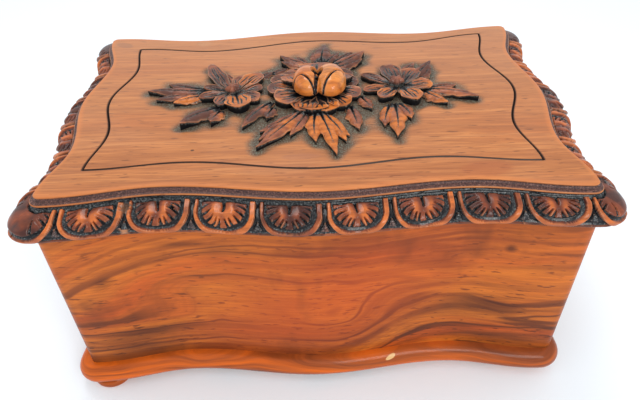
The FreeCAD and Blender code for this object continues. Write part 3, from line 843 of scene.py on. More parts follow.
def roseBud():
    # a closed bud: the higher of two half ellipsoids, cut by the cleft between them, by a groove inside
    # each petal's rolled rim and by a pocket with a core; below the widest line it turns in to its foot
    rows, cols = bud["rows"], bud["cols"]
    share = np.linspace(0.01, 1, rows)[:, None]
    angle = np.linspace(0, 2 * np.pi, cols, endpoint=False)[None, :]
    cx, cy = bud["centre"]
    reach, inside = 0, []
    for (ex, ey), (rx, ry) in bud["balls"]:
        # how far the ray from the centre runs before it leaves this petal's ellipse
        dx, dy = np.cos(angle) / rx, np.sin(angle) / ry
        fx, fy = (cx - ex) / rx, (cy - ey) / ry
        a, b, c = dx * dx + dy * dy, fx * dx + fy * dy, fx * fx + fy * fy - 1
        reach = np.maximum(reach, (-b + np.sqrt(b * b - a * c)) / a)
    x = cx + share * reach * np.cos(angle)
    y = cy + share * reach * np.sin(angle)
    for (ex, ey), (rx, ry) in bud["balls"]:
        inside.append(np.sqrt(np.clip(1 - ((x - ex) / rx) ** 2 - ((y - ey) / ry) ** 2, 0, 1)))
    dome = np.maximum(*inside) ** 0.8
    z = bud["foot"] + (bud["height"] - bud["foot"]) * dome
    # the rim of each petal stands above the rolled part that lies inside its groove
    cleft, down = distanceTo(x, y, bud["cleft"])
    width = 0.9 - 0.3 * down
    depth = 3.0 - 1.0 * down
    cutCleft = easeStep(width + 0.5 - cleft, 0, 0.8)
    cutLeft, _ = distanceTo(x, y, bud["leftGroove"])
    cutRight, _ = distanceTo(x, y, bud["rightGroove"])
    grooves = np.maximum(easeStep(1.05 - cutLeft, 0, 0.7), easeStep(1.05 - cutRight, 0, 0.7))
    px, py = bud["pocket"]
    wideX, wideY = bud["pocketReach"]
    pocket = 1 - easeStep(np.hypot((x - px) / wideX, (y - py) / wideY), 0.78, 1.0)
    z = z - depth * cutCleft * dome**0.3 - 1.9 * grooves * dome**0.2 - 3.8 * pocket
    core = easeStep(1.5 - np.hypot((x - px), (y - py + 0.6) * 0.7), 0, 1.0)
    z = z + 1.2 * core
    lines = 0.05 * np.cos(angle * 46) * easeStep(share, 0.7, 0.9)
    z = z + lines + heights["top"]
    # the cleft, the grooves and the pocket are painted dark as shade, and the rims beside them lighter as
    # painted highlight
    dark = np.clip(cutCleft + grooves + pocket * (1 - 0.6 * core), 0, 1)
    raised = 1 - dark
    blur = dark
    for _ in range(3):
        inward, outward = np.r_[blur[:1], blur[:-1]], np.r_[blur[1:], blur[-1:]]
        blur = (np.roll(blur, 1, 1) + np.roll(blur, -1, 1) + inward + outward) / 4
    edge = np.clip((blur - dark) * 2.2, 0, 1)
    skirt = []
    for part, drop, shade in bud["skirt"]:
        down = np.full(cols, heights["top"] + bud["foot"] - drop)
        skirt.append(np.stack([cx + part * (x[-1] - cx), cy + part * (y[-1] - cy), down], 1)[None])
        raised = np.concatenate([raised, np.full((1, cols), shade)])
    edge = np.concatenate([edge, np.zeros((len(skirt), cols))])
    grid = np.concatenate([np.stack([x, y, z], -1), *skirt])
    total = rows + len(skirt)
    quads = gridFaces(total, cols, wrapCols=True)
    caps = [list(range(cols)), list(range((total - 1) * cols, total * cols))[::-1]]
    return shell(grid.reshape(-1, 3), quads, caps, raised=raised.ravel(), edge=edge.ravel(),
                 tone=np.full(raised.size, 0.6))


allLobes = leafLobes + [p for group in blossomPetals.values() for p in group] + rosePetals
makePiece("leaf_spray", leafSpray(), sprayMaterial, "lid", ["rose_carving"])
for name, rows in blossomPetals.items():
    centre = (-42.5, 5, 2.6) if name == "left_blossom" else (46.5, 8, 3.0)
    skin = joined([petals(rows), knob(centre, 3.8, 2.4)])
    makePiece(name, skin, sprayMaterial, "lid", ["rose_carving"])
makePiece("rose_petals", petals(rosePetals, root=0.58), sprayMaterial, "lid",
          ["rose_carving"])
# the petals that stand behind the bud
hood = [((3, 13), (3.5, 24.0), 21, 12.0, 11.0, 0, 0.6, 0.55),
        ((-8, 7), (-13, 16), 12, 8.0, 6.5, 0, 0.6, 0.35), ((15, 8), (19, 17), 12, 8.0, 6.5, 0, 0.6, 0.4)]
makePiece("rose_hood", petals(hood, groove=0.1, lines=0.2, cup=0.3, root=0.1), sprayMaterial,
          "lid", ["rose_carving"])
makePiece("rose_bud", roseBud(), budMaterial, "lid", ["rose_carving"])
print("carved spray ready")

# Lid panel

lidPanel = {
    "line": 1.5, "depth": 1.1, "arris": 0.12, "flat": -3.0, "counts": [272, 160, 272, 160],
    # (height above the underside, distance outside the outline) from the bead at the bottom to the top
    "edge": [(0, 1.4), (0.35, 2.1), (0.7, 2.45), (1.1, 2.6), (1.5, 2.4), (1.75, 1.8), (1.9, 1.1), (2.1, 0.5),
             (2.5, 0.05), (3.0, -0.2), (3.4, -0.15), (3.65, 0.15), (3.95, 0.2), (4.25, 0.0), (4.45, -0.45),
             (4.5, -1.1)],
    "groundDip": 0.7, "groundReach": 5.0, "groundBlend": 2.4, "unevenness": 0.05,
}


def nearCarving(x, y):
    # 1 on the stippled ground about the carving, fading out over its reach: the distance to each lobe's
    # outline, joined by a smooth minimum and made uneven
    total, blend = 0, lidPanel["groundBlend"]
    for lobe in allLobes:
        far, where = distanceTo(x, y, [lobe[0], lobe[1]])
        half = lobe[2] / 2 * np.sin(np.pi * np.clip(where * 0.75 + 0.2, 0, 1))
        total = total + np.exp(-np.clip(far - half, -30, 60) / blend)
    best = -blend * np.log(total + 1e-9) + 1.1 * ripple(np.stack([x, y], -1), 14, 5)
    return 1 - easeStep(best, -0.3, lidPanel["groundReach"])


def coonsPatch(sides, nu, nv):
    # a grid inside four sides: the two pairs of opposite sides blended, less the blend of the corners
    front, right = spaced(sides[0], nu), spaced(sides[1], nv)
    back, left = spaced(sides[2], nu)[::-1], spaced(sides[3], nv)[::-1]
    u = np.linspace(0, 1, nu + 1)[None, :, None]
    v = np.linspace(0, 1, nv + 1)[:, None, None]
    across = front[None] * (1 - v) + back[None] * v
    along = left[:, None] * (1 - u) + right[:, None] * u
    corners = (front[0] * (1 - u) + front[-1] * u) * (1 - v) + (back[0] * (1 - u) + back[-1] * u) * v
    return across + along - corners


def lidSkin():
    # a grid inside the incised line, then rings out to the edge and down its profile
    counts = lidPanel["counts"]
    nu, nv = counts[:2]
    half = lidPanel["line"] / 2
    inner = coonsPatch(outlineSides(lineOutline, -half), nu, nv)
    index = np.arange((nu + 1) * (nv + 1)).reshape(nv + 1, nu + 1)
    rim = np.concatenate([index[0, :-1], index[:-1, -1], index[-1, :0:-1], index[:0:-1, 0]])
    top = heights["top"]
    patch = np.concatenate([inner.reshape(-1, 2), np.full((index.size, 1), top)], 1)
    rings, tones = [], []

    def ring(loop, z, line=0.0, edge=0.0, cove=0.0):
        rings.append(np.concatenate([loop, np.full((len(loop), 1), z)], 1))
        tones.append(np.tile([line, edge, cove], (len(loop), 1)))

    for grow, drop, line in ((-half * 0.75, lidPanel["arris"], 0.9), (0, lidPanel["depth"], 1.0),
                             (half * 0.75, lidPanel["arris"], 0.9), (half, 0, 0.4)):
        ring(ringLoop(lineOutline, grow, counts), top - drop, line)
    between = ringLoop(lineOutline, half + 0.5, counts)
    outer = ringLoop(panelOutline, lidPanel["flat"], counts)
    for share in np.linspace(0, 1, 14):
        ring(between * (1 - share) + outer * share, top)
    profile = smoothThrough(lidPanel["edge"][::-1], 34)
    for h, grow in profile:
        # stained in the cove, painted shade under the bead, and painted highlight on the arris and on the
        # bead
        cove = easeStep(h, 1.45, 1.7) * (1 - easeStep(h, 3.3, 3.55)) + 1 - easeStep(h, 0.75, 1.0)
        wearAndHighlight = easeStep(h, 3.5, 4.1) * 0.9 + easeStep(h, 0.9, 1.1) * (1 - easeStep(h, 1.4, 1.6)) * 0.4
        ring(ringLoop(panelOutline, grow, counts), heights["panel"] + h, 0.0, wearAndHighlight, cove)
    loops = np.stack(rings)
    count = loops.shape[1]
    start = index.size
    points = np.concatenate([patch, loops.reshape(-1, 3)])
    onTop = points[:, 2] > top - 0.01
    ground = np.zeros(len(points))
    ground[onTop] = nearCarving(points[onTop, 0], points[onTop, 1])
    points[:, 2] -= ground * lidPanel["groundDip"] * onTop
    points[onTop, 2] += lidPanel["unevenness"] * ripple(points[onTop, :2], 60, 11)
    loop = start + np.arange(count)
    first = np.stack([rim, np.roll(rim, -1), np.roll(loop, -1), loop], 1)
    quads = np.concatenate([gridFaces(nv + 1, nu + 1), first,
                            gridFaces(len(rings), count, wrapCols=True, start=start)])
    caps = [list(range(start + (len(rings) - 1) * count, start + len(rings) * count))]
    line, edge, cove = np.concatenate([np.zeros((index.size, 3)), *tones]).T
    # the patch and the rings have to run the same way round
    normal = np.cross(points[quads[:, 1]] - points[quads[:, 0]], points[quads[:, 2]] - points[quads[:, 0]])
    split = nu * nv
    if normal[:split, 2].sum() < 0:
        quads[:split] = quads[:split, ::-1]
    if normal[split:split + count * 8, 2].sum() < 0:
        quads[split:] = quads[split:, ::-1]
    caps = [cap[::-1] for cap in caps]
    return {"points": points, "quads": quads, "caps": caps,
            "values": {"ground": ground, "line": line, "edge": edge, "cove": cove}}


makePiece("lid_board", lidSkin(), lidMaterial, "lid", ["lid_panel"], 50)
print("lid board ready")

# Carved border

border = {
    "start": 1.8, "pitch": 29.06, "firstGap": -112.0, "step": 0.36, "across": 84, "corner": 25.0,
    # the face's section: (height above the underside, share of the depth)
    "edge": [(13.3, 0), (12.9, 0.2), (11.9, 0.52), (10.4, 0.79), (8.6, 0.95), (6.6, 1), (4.6, 0.98),
             (2.6, 0.87), (1, 0.62), (0, 0.22)],
    # worn places of the front border: (x, distance down, radius, depth, paleness)
    "damage": [(-63.2, 5.6, 1.5, 1.7, 0.0), (-83.0, 4.4, 2.8, 0.9, 0.3), (-83.8, 18.8, 2.8, 0.8, 1.0),
               (-77.0, 19.3, 1.6, 0.5, 1.0), (-60.0, 19.4, 1.3, 0.4, 0.8), (21.0, 19.5, 1.4, 0.4, 0.7)],
    # where the back border's underside steps up for the hinges, as pairs of places in y
    "steps": [82.4, 82.38, 76.25, 76.23, 68.9, 68.88],
    "depth": 13.6, "ground": -2.3, "strap": 0.35, "channel": -2.0, "shell": -0.6,
}


def slotCut(u, v, a, b, ra, rb, soft=0.35):
    # 1 inside a slot from a to b, bowed a little, whose half width goes from ra to rb
    (ax, ay), (bx, by) = a, b
    dx, dy = bx - ax, by - ay
    v = v - 0.09 * (u - (ax + bx) / 2) ** 2
    t = np.clip(((u - ax) * dx + (v - ay) * dy) / (dx * dx + dy * dy), 0, 1)
    far = np.hypot(u - ax - t * dx, v - ay - t * dy) - (ra + (rb - ra) * t)
    return easeStep(-far, -soft, soft)


def relief(gap, u, v, corner):
    # Height of the carving above the smooth border. gap is the distance from the line between two
    # units, u the signed place across the unit, v the distance down the face from the bead. A strap
    # hangs in a U from the top band; inside it are a channel and a shell of drooping lobes.
    wide = np.where(corner, 2.3, np.where(u < 0, 1.8, 2.6))
    low = np.maximum(v - 7.5, 0)
    outX = np.maximum(14.5 - gap, 0)
    outer = (1 - np.hypot(outX / 13.75, low / 13.2)) * 13
    inner = (1 - np.hypot(outX / (13.75 - wide), low / 10.3)) * 11
    strap = easeStep(outer, -0.1, 0.55) * (1 - easeStep(inner, -0.15, 0.45))
    flank = easeStep(inner, 0.2, 1.9)
    height = np.full(np.shape(v), border["ground"])
    inU = easeStep(inner, -0.1, 0.3)
    ledge = border["channel"] + 0.75 * (1 - flank)
    height = height + (ledge - height) * inU
    # spandrel dart between the straps
    dart = easeStep(0.25 + 0.28 * (v - 10.5) - gap, -0.2, 0.5)
    dart = dart * easeStep(v, 10.5, 12.0) * easeStep(17.6 - v, 0, 1.0)
    height = np.where(outer < 0, height + 1.3 * dart, height)
    # shell: s is the distance from its middle line
    s = np.where(corner, border["pitch"] / 2 - gap, np.abs(u + 0.7))
    inside = 10.2 - np.hypot(np.maximum(s, 0), np.maximum(v - 5.2, 0) * 0.99)
    inside = np.minimum(inside, v - 2.0)
    body = easeStep(inside, -0.1, 0.7)
    wing = np.where(corner, 0, 0.55 * np.exp(-((s - 3.3) / 2.4) ** 2))
    dome = border["shell"] + 0.75 * np.sqrt(np.clip(inside / 9.0, 0, 1)) - 0.25 + wing
    # short drooping grooves from each wing's middle out to its rim, a slot between the wings
    cut = slotCut(s, v, (4.9, 5.5), (9.4, 8.6), 0.12, 0.75)
    cut = np.maximum(cut, 0.85 * slotCut(s, v, (5.6, 3.2), (9.8, 4.9), 0.1, 0.55))
    lowCut = slotCut(s, v, (4.1, 8.2), (7.5, 11.8), 0.12, 0.75)
    lowCut = np.maximum(lowCut, slotCut(s, v, (2.7, 10.1), (4.7, 13.6), 0.12, 0.7))
    cornerCut = slotCut(s, v, (1.9, 6.4), (3.6, 13.2), 0.2, 0.65)
    cut = np.maximum(cut, np.where(corner, cornerCut, lowCut))
    fine = 0.35 * slotCut(s, v, (3.9, 7.0), (7.4, 9.6), 0.05, 0.2)
    fine = np.maximum(fine, 0.35 * slotCut(s, v, (4.6, 4.4), (8.2, 6.3), 0.05, 0.2))
    middle = slotCut(s, v, (0, 2.0), (0, 7.2), 0.75, 0.3)
    stemSide = slotCut(s, v, (1.15, 10.8), (2.3, 14.2), 0.15, 0.9)
    own = np.maximum(middle, stemSide)
    cut = np.maximum(cut, np.where(corner, 0, own))
    cut = np.maximum(cut, np.where(corner, fine * (s > 3.5), fine))
    shellTop = dome - 1.55 * cut
    height = height + (shellTop - height) * body
    # stem foot
    foot = easeStep(0.55 + 0.55 * np.maximum(v - 11.8, 0) - s, -0.15, 0.35)
    foot = foot * easeStep(v, 9.4, 10.2) * easeStep(14.6 - v, 0, 0.4)
    foot = np.where(corner, 0, foot)
    height = height + (-0.55 - height) * foot
    strapTop = border["strap"] - 0.08 * easeStep(v, 13, 18)
    height = height + (strapTop - height) * strap
    # band under the bead, and the plain arris below
    band = 1 - easeStep(v, 1.1, 2.0)
    height = height * (1 - band) - 0.6 * band
    under = easeStep(v, 19.4, 20.6)
    height = height * (1 - under) - 0.1 * under
    return height * easeStep(v, 0.0, 0.5)


def sidePlaces(outer, side):
    # distance along the widest line from a side's first corner, and where the gaps between units fall
    along = np.r_[0, np.cumsum(np.linalg.norm(np.diff(outer, axis=0), axis=1))]
    if side == 0:
        gaps = border["firstGap"] + border["pitch"] * np.arange(9)
        return along, np.interp(gaps, outer[:, 0], along)
    room = along[-1] - 2 * border["corner"]
    units = round(room / border["pitch"])
    return along, border["corner"] + room / units * np.arange(units + 1)


def borderRelief(along, gaps, v, seed):
    # place the units: each between two gaps, and half of a corner unit past the first and the last
    units = len(gaps) - 1
    k = np.clip(np.searchsorted(gaps, along) - 1, 0, units - 1)
    left, right = gaps[k], gaps[k + 1]
    isCorner = (along < gaps[0]) | (along > gaps[-1])
    centre = (left + right) / 2
    u = (along - centre) * border["pitch"] / (right - left)
    gap = border["pitch"] / 2 - np.abs(u)
    gap = np.where(along < gaps[0], gaps[0] - along, np.where(along > gaps[-1], along - gaps[-1], gap))
    u = np.where(isCorner, -1.0, u)
    draw = np.random.default_rng(seed)
    shift = draw.uniform(-0.5, 0.5, units + 2)
    which = np.where(along < gaps[0], units, np.where(along > gaps[-1], units + 1, k))
    # hand work: every unit hangs a little higher or lower, and its cuts wander
    wobble = 0.36 * ripple(np.stack(np.broadcast_arrays(along[:, None], v[None, :]), -1), 9, seed)
    plain = 1 - isCorner[:, None]
    u = u[:, None] + wobble * plain
    v = v[None, :] + shift[which][:, None] * easeStep(v, 2, 6)[None, :] * plain + 0.6 * wobble
    return relief(np.maximum(gap[:, None] + 0.3 * wobble, 0), u, v, isCorner[:, None]), which


def blurred(field, reach):
    # the mean over a square of cells, first along one direction and then along the other
    total = np.zeros_like(field)
    padded = np.pad(field, reach, mode="edge")
    offsets = range(2 * reach + 1)
    for a in offsets:
        total += padded[a:a + field.shape[0], reach:reach + field.shape[1]]
    padded = np.pad(total / len(offsets), reach, mode="edge")
    total = np.zeros_like(field)
    for b in offsets:
        total += padded[reach:reach + field.shape[0], b:b + field.shape[1]]
    return total / len(offsets)


def hingeRoom(x, y):
    # how far the underside is cut away for the leaves and the barrels of the two hinges
    leafLow, leafHigh = (p * 1000 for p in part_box("left_hinge_lid_leaf"))
    pinLow, pinHigh = (p * 1000 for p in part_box("left_hinge_pin"))
    middle = abs(leafLow.x + leafHigh.x) / 2
    half = (leafHigh.x - leafLow.x) / 2 + 0.1
    barrel = pinHigh.z + 1.0 - heights["border"]
    across = np.abs(np.abs(x) - middle)
    seat = (across < half) & (y > leafLow.y - 0.1) & (y < pinHigh.y + 1)
    room = (across < half + 1.6) & (y > pinLow.y - 0.7) & (y < pinHigh.y + 1.1)
    return np.where(room, barrel, np.where(seat, 1.15, 0.0))


def borderSkin(side):
    # the face is a profile carried from the panel's outline to the border's widest line, raised along
    # its normal by the relief; the underside, inner wall and hidden top close the section
    outer = outlineSides(borderOutline)[side]
    inner = outlineSides(panelOutline, border["start"])[side]
    length = np.linalg.norm(np.diff(outer, axis=0), axis=1).sum()
    count = int(length / border["step"])
    outer = spaced(outer, count)
    along, gaps = sidePlaces(outer, side)
    corners = insideCorners()
    a, b = corners[side], corners[(side + 1) % 4]
    line = unit(b - a)
    place = (outer - a) @ line
    innerPlace = (inner - a) @ line
    marks = np.interp([gaps[0], gaps[-1]], along, place)
    opposite = np.interp(place, [place[0], *marks, place[-1]], [innerPlace[0], *marks, innerPlace[-1]])
    inner = np.stack([np.interp(opposite, innerPlace, inner[:, k]) for k in (0, 1)], 1)
    profile = smoothThrough([(share * border["depth"], h) for h, share in border["edge"]], border["across"])
    v = np.r_[0, np.cumsum(np.linalg.norm(np.diff(profile, axis=0), axis=1))]
    height, which = borderRelief(along, gaps, v, 20 + side)
    wearAndHighlight, pale = np.zeros_like(height), np.zeros_like(height)
    for x, down, radius, dent, share in border["damage"] if side == 0 else []:
        far = np.hypot(outer[:, :1] - x, v[None, :] - down)
        pit = 1 - easeStep(far * (1 + 0.25 * np.sin(3 * v + x)), 0.55 * radius, radius)
        height = height - dent * pit
        wearAndHighlight, pale = np.maximum(wearAndHighlight, pit * (1 - share)), np.maximum(pale, pit * share)
    reach = outer - inner
    depth = np.linalg.norm(reach, axis=1)
    out = reach / depth[:, None]
    share = profile[:, 0] / border["depth"]
    dr = np.gradient(share, v)[None, :] * depth[:, None]
    dz = np.gradient(profile[:, 1], v)[None, :] + 0 * dr
    size = np.hypot(dr, dz)
    normalOut, normalUp = -dz / size, dr / size
    r = share[None, :] * depth[:, None] + height * normalOut
    z = heights["border"] + profile[:, 1][None, :] + height * normalUp
    face = np.stack([inner[:, None, 0] + out[:, None, 0] * r, inner[:, None, 1] + out[:, None, 1] * r, z], -1)
    ends = place[0], place[-1]
    middle, half = (ends[0] + ends[1]) / 2, (ends[1] - ends[0]) / 2
    halfInside = np.linalg.norm(b - a) / 2
    off = place - middle
    keep = 0.66 * half
    slope = (halfInside - keep) / (half - keep)
    straight = np.where(np.abs(off) < keep, off, np.sign(off) * (keep + (np.abs(off) - keep) * slope))
    foot = a + line * (np.clip(straight, -halfInside, halfInside) + halfInside)[:, None]
    last = face[:, -1]
    if side == 2:
        rows = [(last[:, 1] - y) / (last[:, 1] - foot[:, 1]) for y in border["steps"]]
    else:
        rows = [np.full(count + 1, 0.5)]
    under = []
    for row in rows:
        flat = last[:, :2] + (foot - last[:, :2]) * np.clip(row, 0.001, 0.999)[:, None]
        lift = hingeRoom(flat[:, 0], flat[:, 1]) if side == 2 else np.zeros(count + 1)
        under.append(np.concatenate([flat, (heights["border"] + lift)[:, None]], 1))
    bottom = np.concatenate([foot, np.full((count + 1, 1), heights["border"])], 1)
    topIn = np.concatenate([foot, np.full((count + 1, 1), heights["panel"] - 0.02)], 1)
    grid = np.concatenate([face, np.stack(under, 1), bottom[:, None], topIn[:, None]], 1)
    # lighter on the crests by "edge": painted highlight; darker where the carving is low: dark stain, with
    # painted shadow in the deepest hollows; the worn places are real damage, dented darker or paler
    cavity = blurred(height, 2)
    edge = 0.7 * np.clip((height - cavity - 0.35) / 0.5, 0, 1) * easeStep(v, 1.4, 2.4)[None, :]
    raised = np.interp(height, [-2.3, -1.9, -1.2, -0.95, -0.6], [0, 0.08, 0.36, 0.44, 1])
    below = easeStep(v, 1.2, 2.0)[None, :]
    raised = np.maximum((raised * below + 0.24 * (1 - below)) * (1 - 0.9 * wearAndHighlight), pale)
    edge = np.maximum(edge * (1 - wearAndHighlight), 1.6 * pale)
    tone = np.random.default_rng(40 + side).uniform(-0.12, 0.12, len(gaps) + 1)[which][:, None]
    extra = grid.shape[1] - len(v)
    raised = np.concatenate([raised, np.ones((count + 1, extra))], 1)
    edge = np.concatenate([edge, np.zeros((count + 1, extra))], 1)
    n = grid.shape[1]
    caps = [list(range(n))[::-1], list(range(count * n, (count + 1) * n))]
    # a random tone for each unit, and more orange on the highest parts: painted highlight
    toneAndHighlight = np.clip(0.17 + 2.0 * tone + 0.5 * easeStep(height, -0.2, 0.35), 0, 1)
    toneAndHighlight = np.concatenate([toneAndHighlight, np.full((count + 1, extra), 0.95)], 1)
    return shell(grid.reshape(-1, 3), gridFaces(count + 1, n, wrapCols=True), caps,
                 raised=raised.ravel(), edge=edge.ravel(), tone=toneAndHighlight.ravel())


for side, name in enumerate(sideNames):
    makePiece(f"{name}_carved_border", borderSkin(side), borderMaterial, "lid",
              [f"{name}_border"], 60)
print("carved border ready")

# Walls, base and feet

wall = {"round": 0.6, "step": 1.2, "rise": 6.0, "rim": [22, 45, 68, 90]}


def wallSkin(side):
    # a section carried along the side: up the outside, over the rounded rim, down the inside
    outer = outlineSides(wallOutline)[side]
    count = int(np.linalg.norm(np.diff(outer, axis=0), axis=1).sum() / wall["step"])
    outer = spaced(outer, count)
    corners = insideCorners()
    a, b = corners[side], corners[(side + 1) % 4]
    line = unit(b - a)
    first, last = (outer[0] - a) @ line, (outer[-1] - a) @ line
    share = ((outer - a) @ line - first) / (last - first)
    inner = a + (b - a) * share[:, None]
    into = inner - outer
    into = into / np.linalg.norm(into, axis=1)[:, None]
    low, high, r = heights["wall"], heights["rim"], wall["round"]
    section = [(0.0, z) for z in np.linspace(low, high - r, int((high - low) / wall["rise"]))]
    section += [(r - r * math.cos(t), high - r + r * math.sin(t)) for t in np.radians(wall["rim"])]
    columns = [np.concatenate([outer + into * push, np.full((count + 1, 1), z)], 1) for push, z in section]
    for z in (high, low):
        columns.append(np.concatenate([inner, np.full((count + 1, 1), z)], 1))
    grid = np.stack(columns, 1)
    n = grid.shape[1]
    caps = [list(range(n))[::-1], list(range(count * n, (count + 1) * n))]
    return shell(grid.reshape(-1, 3), gridFaces(count + 1, n, wrapCols=True), caps)


for side in (0, 1, 3):
    name = sideNames[side]
    makePiece(f"{name}_wall", wallSkin(side), wallMaterial, "box", [f"{name}_panel"], 30)

base = {"thick": 12.5, "start": 1, "reach": 6, "levels": 25, "counts": [220, 140, 200, 140]}


def baseSkin():
    # the edge is half an ellipse: out by the cosine, up by the sine; flat faces close it
    angles = np.linspace(-np.pi / 2, np.pi / 2, base["levels"])
    loops = []
    for angle in angles:
        loop = ringLoop(baseOutline, base["start"] + base["reach"] * math.cos(angle), base["counts"])
        z = heights["base"] + base["thick"] * (1 + math.sin(angle)) / 2
        loops.append(np.concatenate([loop, np.full((len(loop), 1), z)], 1))
    grid = np.stack(loops)
    n = grid.shape[1]
    caps = [list(range(n)), list(range((len(loops) - 1) * n, len(loops) * n))[::-1]]
    return shell(grid.reshape(-1, 3), gridFaces(len(loops), n, wrapCols=True), caps)


makePiece("moulded_base", baseSkin(), baseMaterial, "box", ["base_board"], 40)

foot = {"tall": 4.5, "round": 1.8, "sides": 64}


def turnedFoot(node):
    # a turned disc: a rounded section carried round its centre
    low, high = (p * 1000 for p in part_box(node))
    cx, cy, radius = (low.x + high.x) / 2, (low.y + high.y) / 2, (high.x - low.x) / 2
    r = foot["round"]
    arc = np.radians(np.linspace(0, 90, 9))
    lower = [(radius - r + r * math.sin(t), r - r * math.cos(t)) for t in arc]
    upper = [(radius - r + r * math.cos(t), foot["tall"] - r + r * math.sin(t)) for t in arc]
    section = np.array([(0.5, 0.0)] + lower + upper + [(0.5, foot["tall"])])
    angle = np.linspace(0, 2 * np.pi, foot["sides"], endpoint=False)[:, None]
    x = cx + section[None, :, 0] * np.cos(angle)
    y = cy + section[None, :, 0] * np.sin(angle)
    z = section[None, :, 1] + 0 * angle
    n = len(section)
    grid = np.stack([x, y, z], -1)
    caps = [[k * n for k in range(foot["sides"])], [k * n + n - 1 for k in range(foot["sides"])][::-1]]
    return shell(grid.reshape(-1, 3), gridFaces(foot["sides"], n, wrapRows=True), caps)


for node in ("front_left_foot", "front_right_foot", "back_left_foot", "back_right_foot"):
    makePiece(node.replace("foot", "bun_foot"), turnedFoot(node), baseMaterial, "box",
              [node], 50)
print("walls, base and feet ready")

# Velvet linings: the floor and lid are padded, the walls are thin crowned boards

lining = {
    "round": 0.8, "cells": 90,
    # (node, piece, axis of the thickness, facing, crown, squeeze, unevenness, fill or 0 if not padded)
    "pieces": [
        ("floor_lining", "floor_pad", 2, 1, 1.1, 0.5, 0.12, 0.5),
        ("lid_lining", "lid_pad", 2, -1, 3.6, 0.5, 0.25, 0.7),
        ("front_lining", "front_velvet", 1, 1, 0.5, 0.0, 0.05, 0),
        ("back_lining", "back_velvet", 1, -1, 0.5, 0.0, 0.05, 0),
        ("left_lining", "left_velvet", 0, 1, 0.5, 0.0, 0.05, 0),
        ("right_lining", "right_velvet", 0, -1, 0.5, 0.0, 0.05, 0),
    ],
}


def padSkin(node, axis, facing, crown, squeeze, unevenness):
    # a box whose face along the axis swells by the root of the product of two flat arches, whose rims
    # are rounded and whose sides pull in a little between the corners
    low, high = (np.array(p) * 1000 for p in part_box(node))
    cells = lining["cells"]
    u = np.sin(np.linspace(-np.pi / 2, np.pi / 2, cells))[:, None]
    v = u.T
    first, second = [k for k in range(3) if k != axis]
    middle, half = (low + high) / 2, (high - low) / 2
    swell = ((1 - u**4) * (1 - v**4)) ** 0.5
    near = np.minimum((1 - np.abs(u)) * half[first], (1 - np.abs(v)) * half[second])
    r = lining["round"]
    roundOff = r - np.sqrt(np.clip(r * r - np.clip(r - near, 0, r) ** 2, 0, None))
    a = middle[first] + u * half[first] - squeeze * (1 - v**2) * np.sign(u) * np.abs(u) ** 6
    b = middle[second] + v * half[second] - squeeze * (1 - u**2) * np.sign(v) * np.abs(v) ** 6
    thick = 2 * half[axis]
    rise = thick - crown + crown * swell - roundOff
    rise = rise + unevenness * ripple(np.stack([a, b], -1), 42, 9 + axis) * swell
    sheets = []
    for depth in (np.clip(rise, 0.3, thick - 0.02), 0.0):
        points = np.zeros((cells, cells, 3))
        points[..., first], points[..., second] = a, b
        points[..., axis] = low[axis] + depth if facing > 0 else high[axis] - depth
        sheets.append(points.reshape(-1, 3))
    index = np.arange(cells * cells).reshape(cells, cells)
    rim = np.concatenate([index[0, :-1], index[:-1, -1], index[-1, :0:-1], index[:0:-1, 0]])
    ahead = np.roll(rim, -1)
    sides = np.stack([ahead, rim, rim + cells * cells, ahead + cells * cells], 1)
    lower = gridFaces(cells, cells, start=cells * cells)[:, ::-1]
    return shell(np.concatenate(sheets), np.concatenate([gridFaces(cells, cells), lower, sides]))


for node, name, *shape, fill in lining["pieces"]:
    body = "lid" if node == "lid_lining" else "box"
    piece = makePiece(name, padSkin(node, *shape), velvetMaterial, body, [node], 60)
print("linings ready")

# Parts of the frame that keep their own shape


def dress(node, material):
    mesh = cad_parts[node].data
    mesh.materials.clear()
    mesh.materials.append(material)


dress("back_panel", wallMaterial)
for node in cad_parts:
    if node.endswith("leaf") or node.endswith("pin") or node.endswith("hinge_screws"):
        dress(node, brassMaterial)
dress("base_screws", steelMaterial)

# Stage: floor, lights, camera

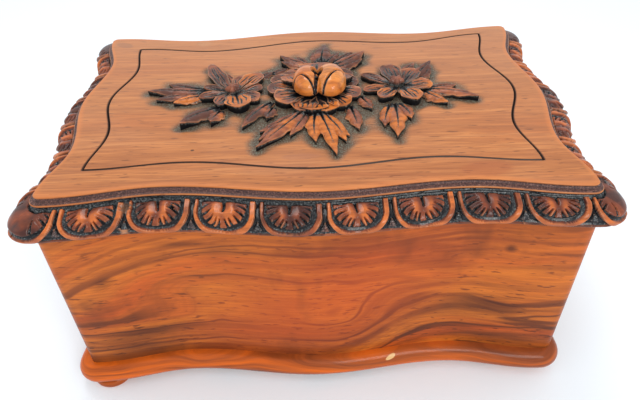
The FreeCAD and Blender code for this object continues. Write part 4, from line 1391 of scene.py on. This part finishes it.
stage = {
    "floorHalf": 4, "floor": (0.87, 0.93, 0.98), "world": (0.94, 0.975, 1.0), "worldStrength": 0.93,
    "lights": [
        # (name, place, aimed at, size, watts, colour)
        ("key", (-0.12, 0.30, 0.95), (0, 0, 0.08), 0.35, 2.4, (1.0, 0.98, 0.95)),
        ("front", (0.30, -0.75, 0.70), (0.03, -0.05, 0.06), 0.4, 3.9, (1.0, 0.97, 0.93)),
        ("left", (-0.8, -0.1, 0.5), (0, 0, 0.08), 0.4, 0.3, (0.95, 0.98, 1.0)),
    ],
}
camera = {
    # degrees down, turned to the right and rolled, and the lens in millimetres
    "place": (0.0005, -0.27508, 0.29302), "down": 40.451, "turn": 0.557, "roll": -1.382, "lens": 32.713,
}


def placed(*columns):
    # the matrix with these axes and this place
    matrix = np.eye(4)
    matrix[:3] = np.array(columns).T
    return Matrix(matrix.tolist())


def buildStage():
    mesh = bpy.data.meshes.new("floor")
    far = stage["floorHalf"]
    mesh.from_pydata([(-far, -far, 0), (far, -far, 0), (far, far, 0), (-far, far, 0)], [], [(0, 1, 2, 3)])
    floor = bpy.data.objects.new("floor", mesh)
    scene.collection.objects.link(floor)
    material, tree, shader = startMaterial("floor_paper")
    finish(tree, shader, stage["floor"], 0.7, 0, 0.1, 0.3)
    mesh.materials.append(material)
    world = bpy.data.worlds.new("studio")
    world.use_nodes = True
    background = world.node_tree.nodes["Background"]
    background.inputs["Color"].default_value = rgba(stage["world"])
    background.inputs["Strength"].default_value = stage["worldStrength"]
    scene.world = world
    for name, place, aim, size, watts, colour in stage["lights"]:
        data = bpy.data.lights.new(name, "AREA")
        data.size, data.energy, data.color = size, watts, colour
        lamp = bpy.data.objects.new(name, data)
        scene.collection.objects.link(lamp)
        away = unit(np.array(place) - np.array(aim))
        right = unit(np.cross([0, 0, 1.0], away))
        lamp.matrix_world = placed(right, np.cross(away, right), away, place)


def buildCamera():
    # aimed down and turned a little, then rolled about its own axis
    data = bpy.data.cameras.new("camera")
    data.sensor_width = 36
    data.lens = camera["lens"]
    obj = bpy.data.objects.new("camera", data)
    scene.collection.objects.link(obj)
    down, turn, roll = (math.radians(camera[key]) for key in ("down", "turn", "roll"))
    ahead = np.array([math.sin(turn) * math.cos(down), math.cos(turn) * math.cos(down), -math.sin(down)])
    right = np.array([math.cos(turn), -math.sin(turn), 0.0])
    up = np.cross(right, ahead)
    turned = math.cos(roll) * right + math.sin(roll) * up
    up = math.cos(roll) * up - math.sin(roll) * right
    obj.matrix_world = placed(turned, up, -ahead, camera["place"])
    scene.camera = obj


buildStage()
buildCamera()
print("stage ready")
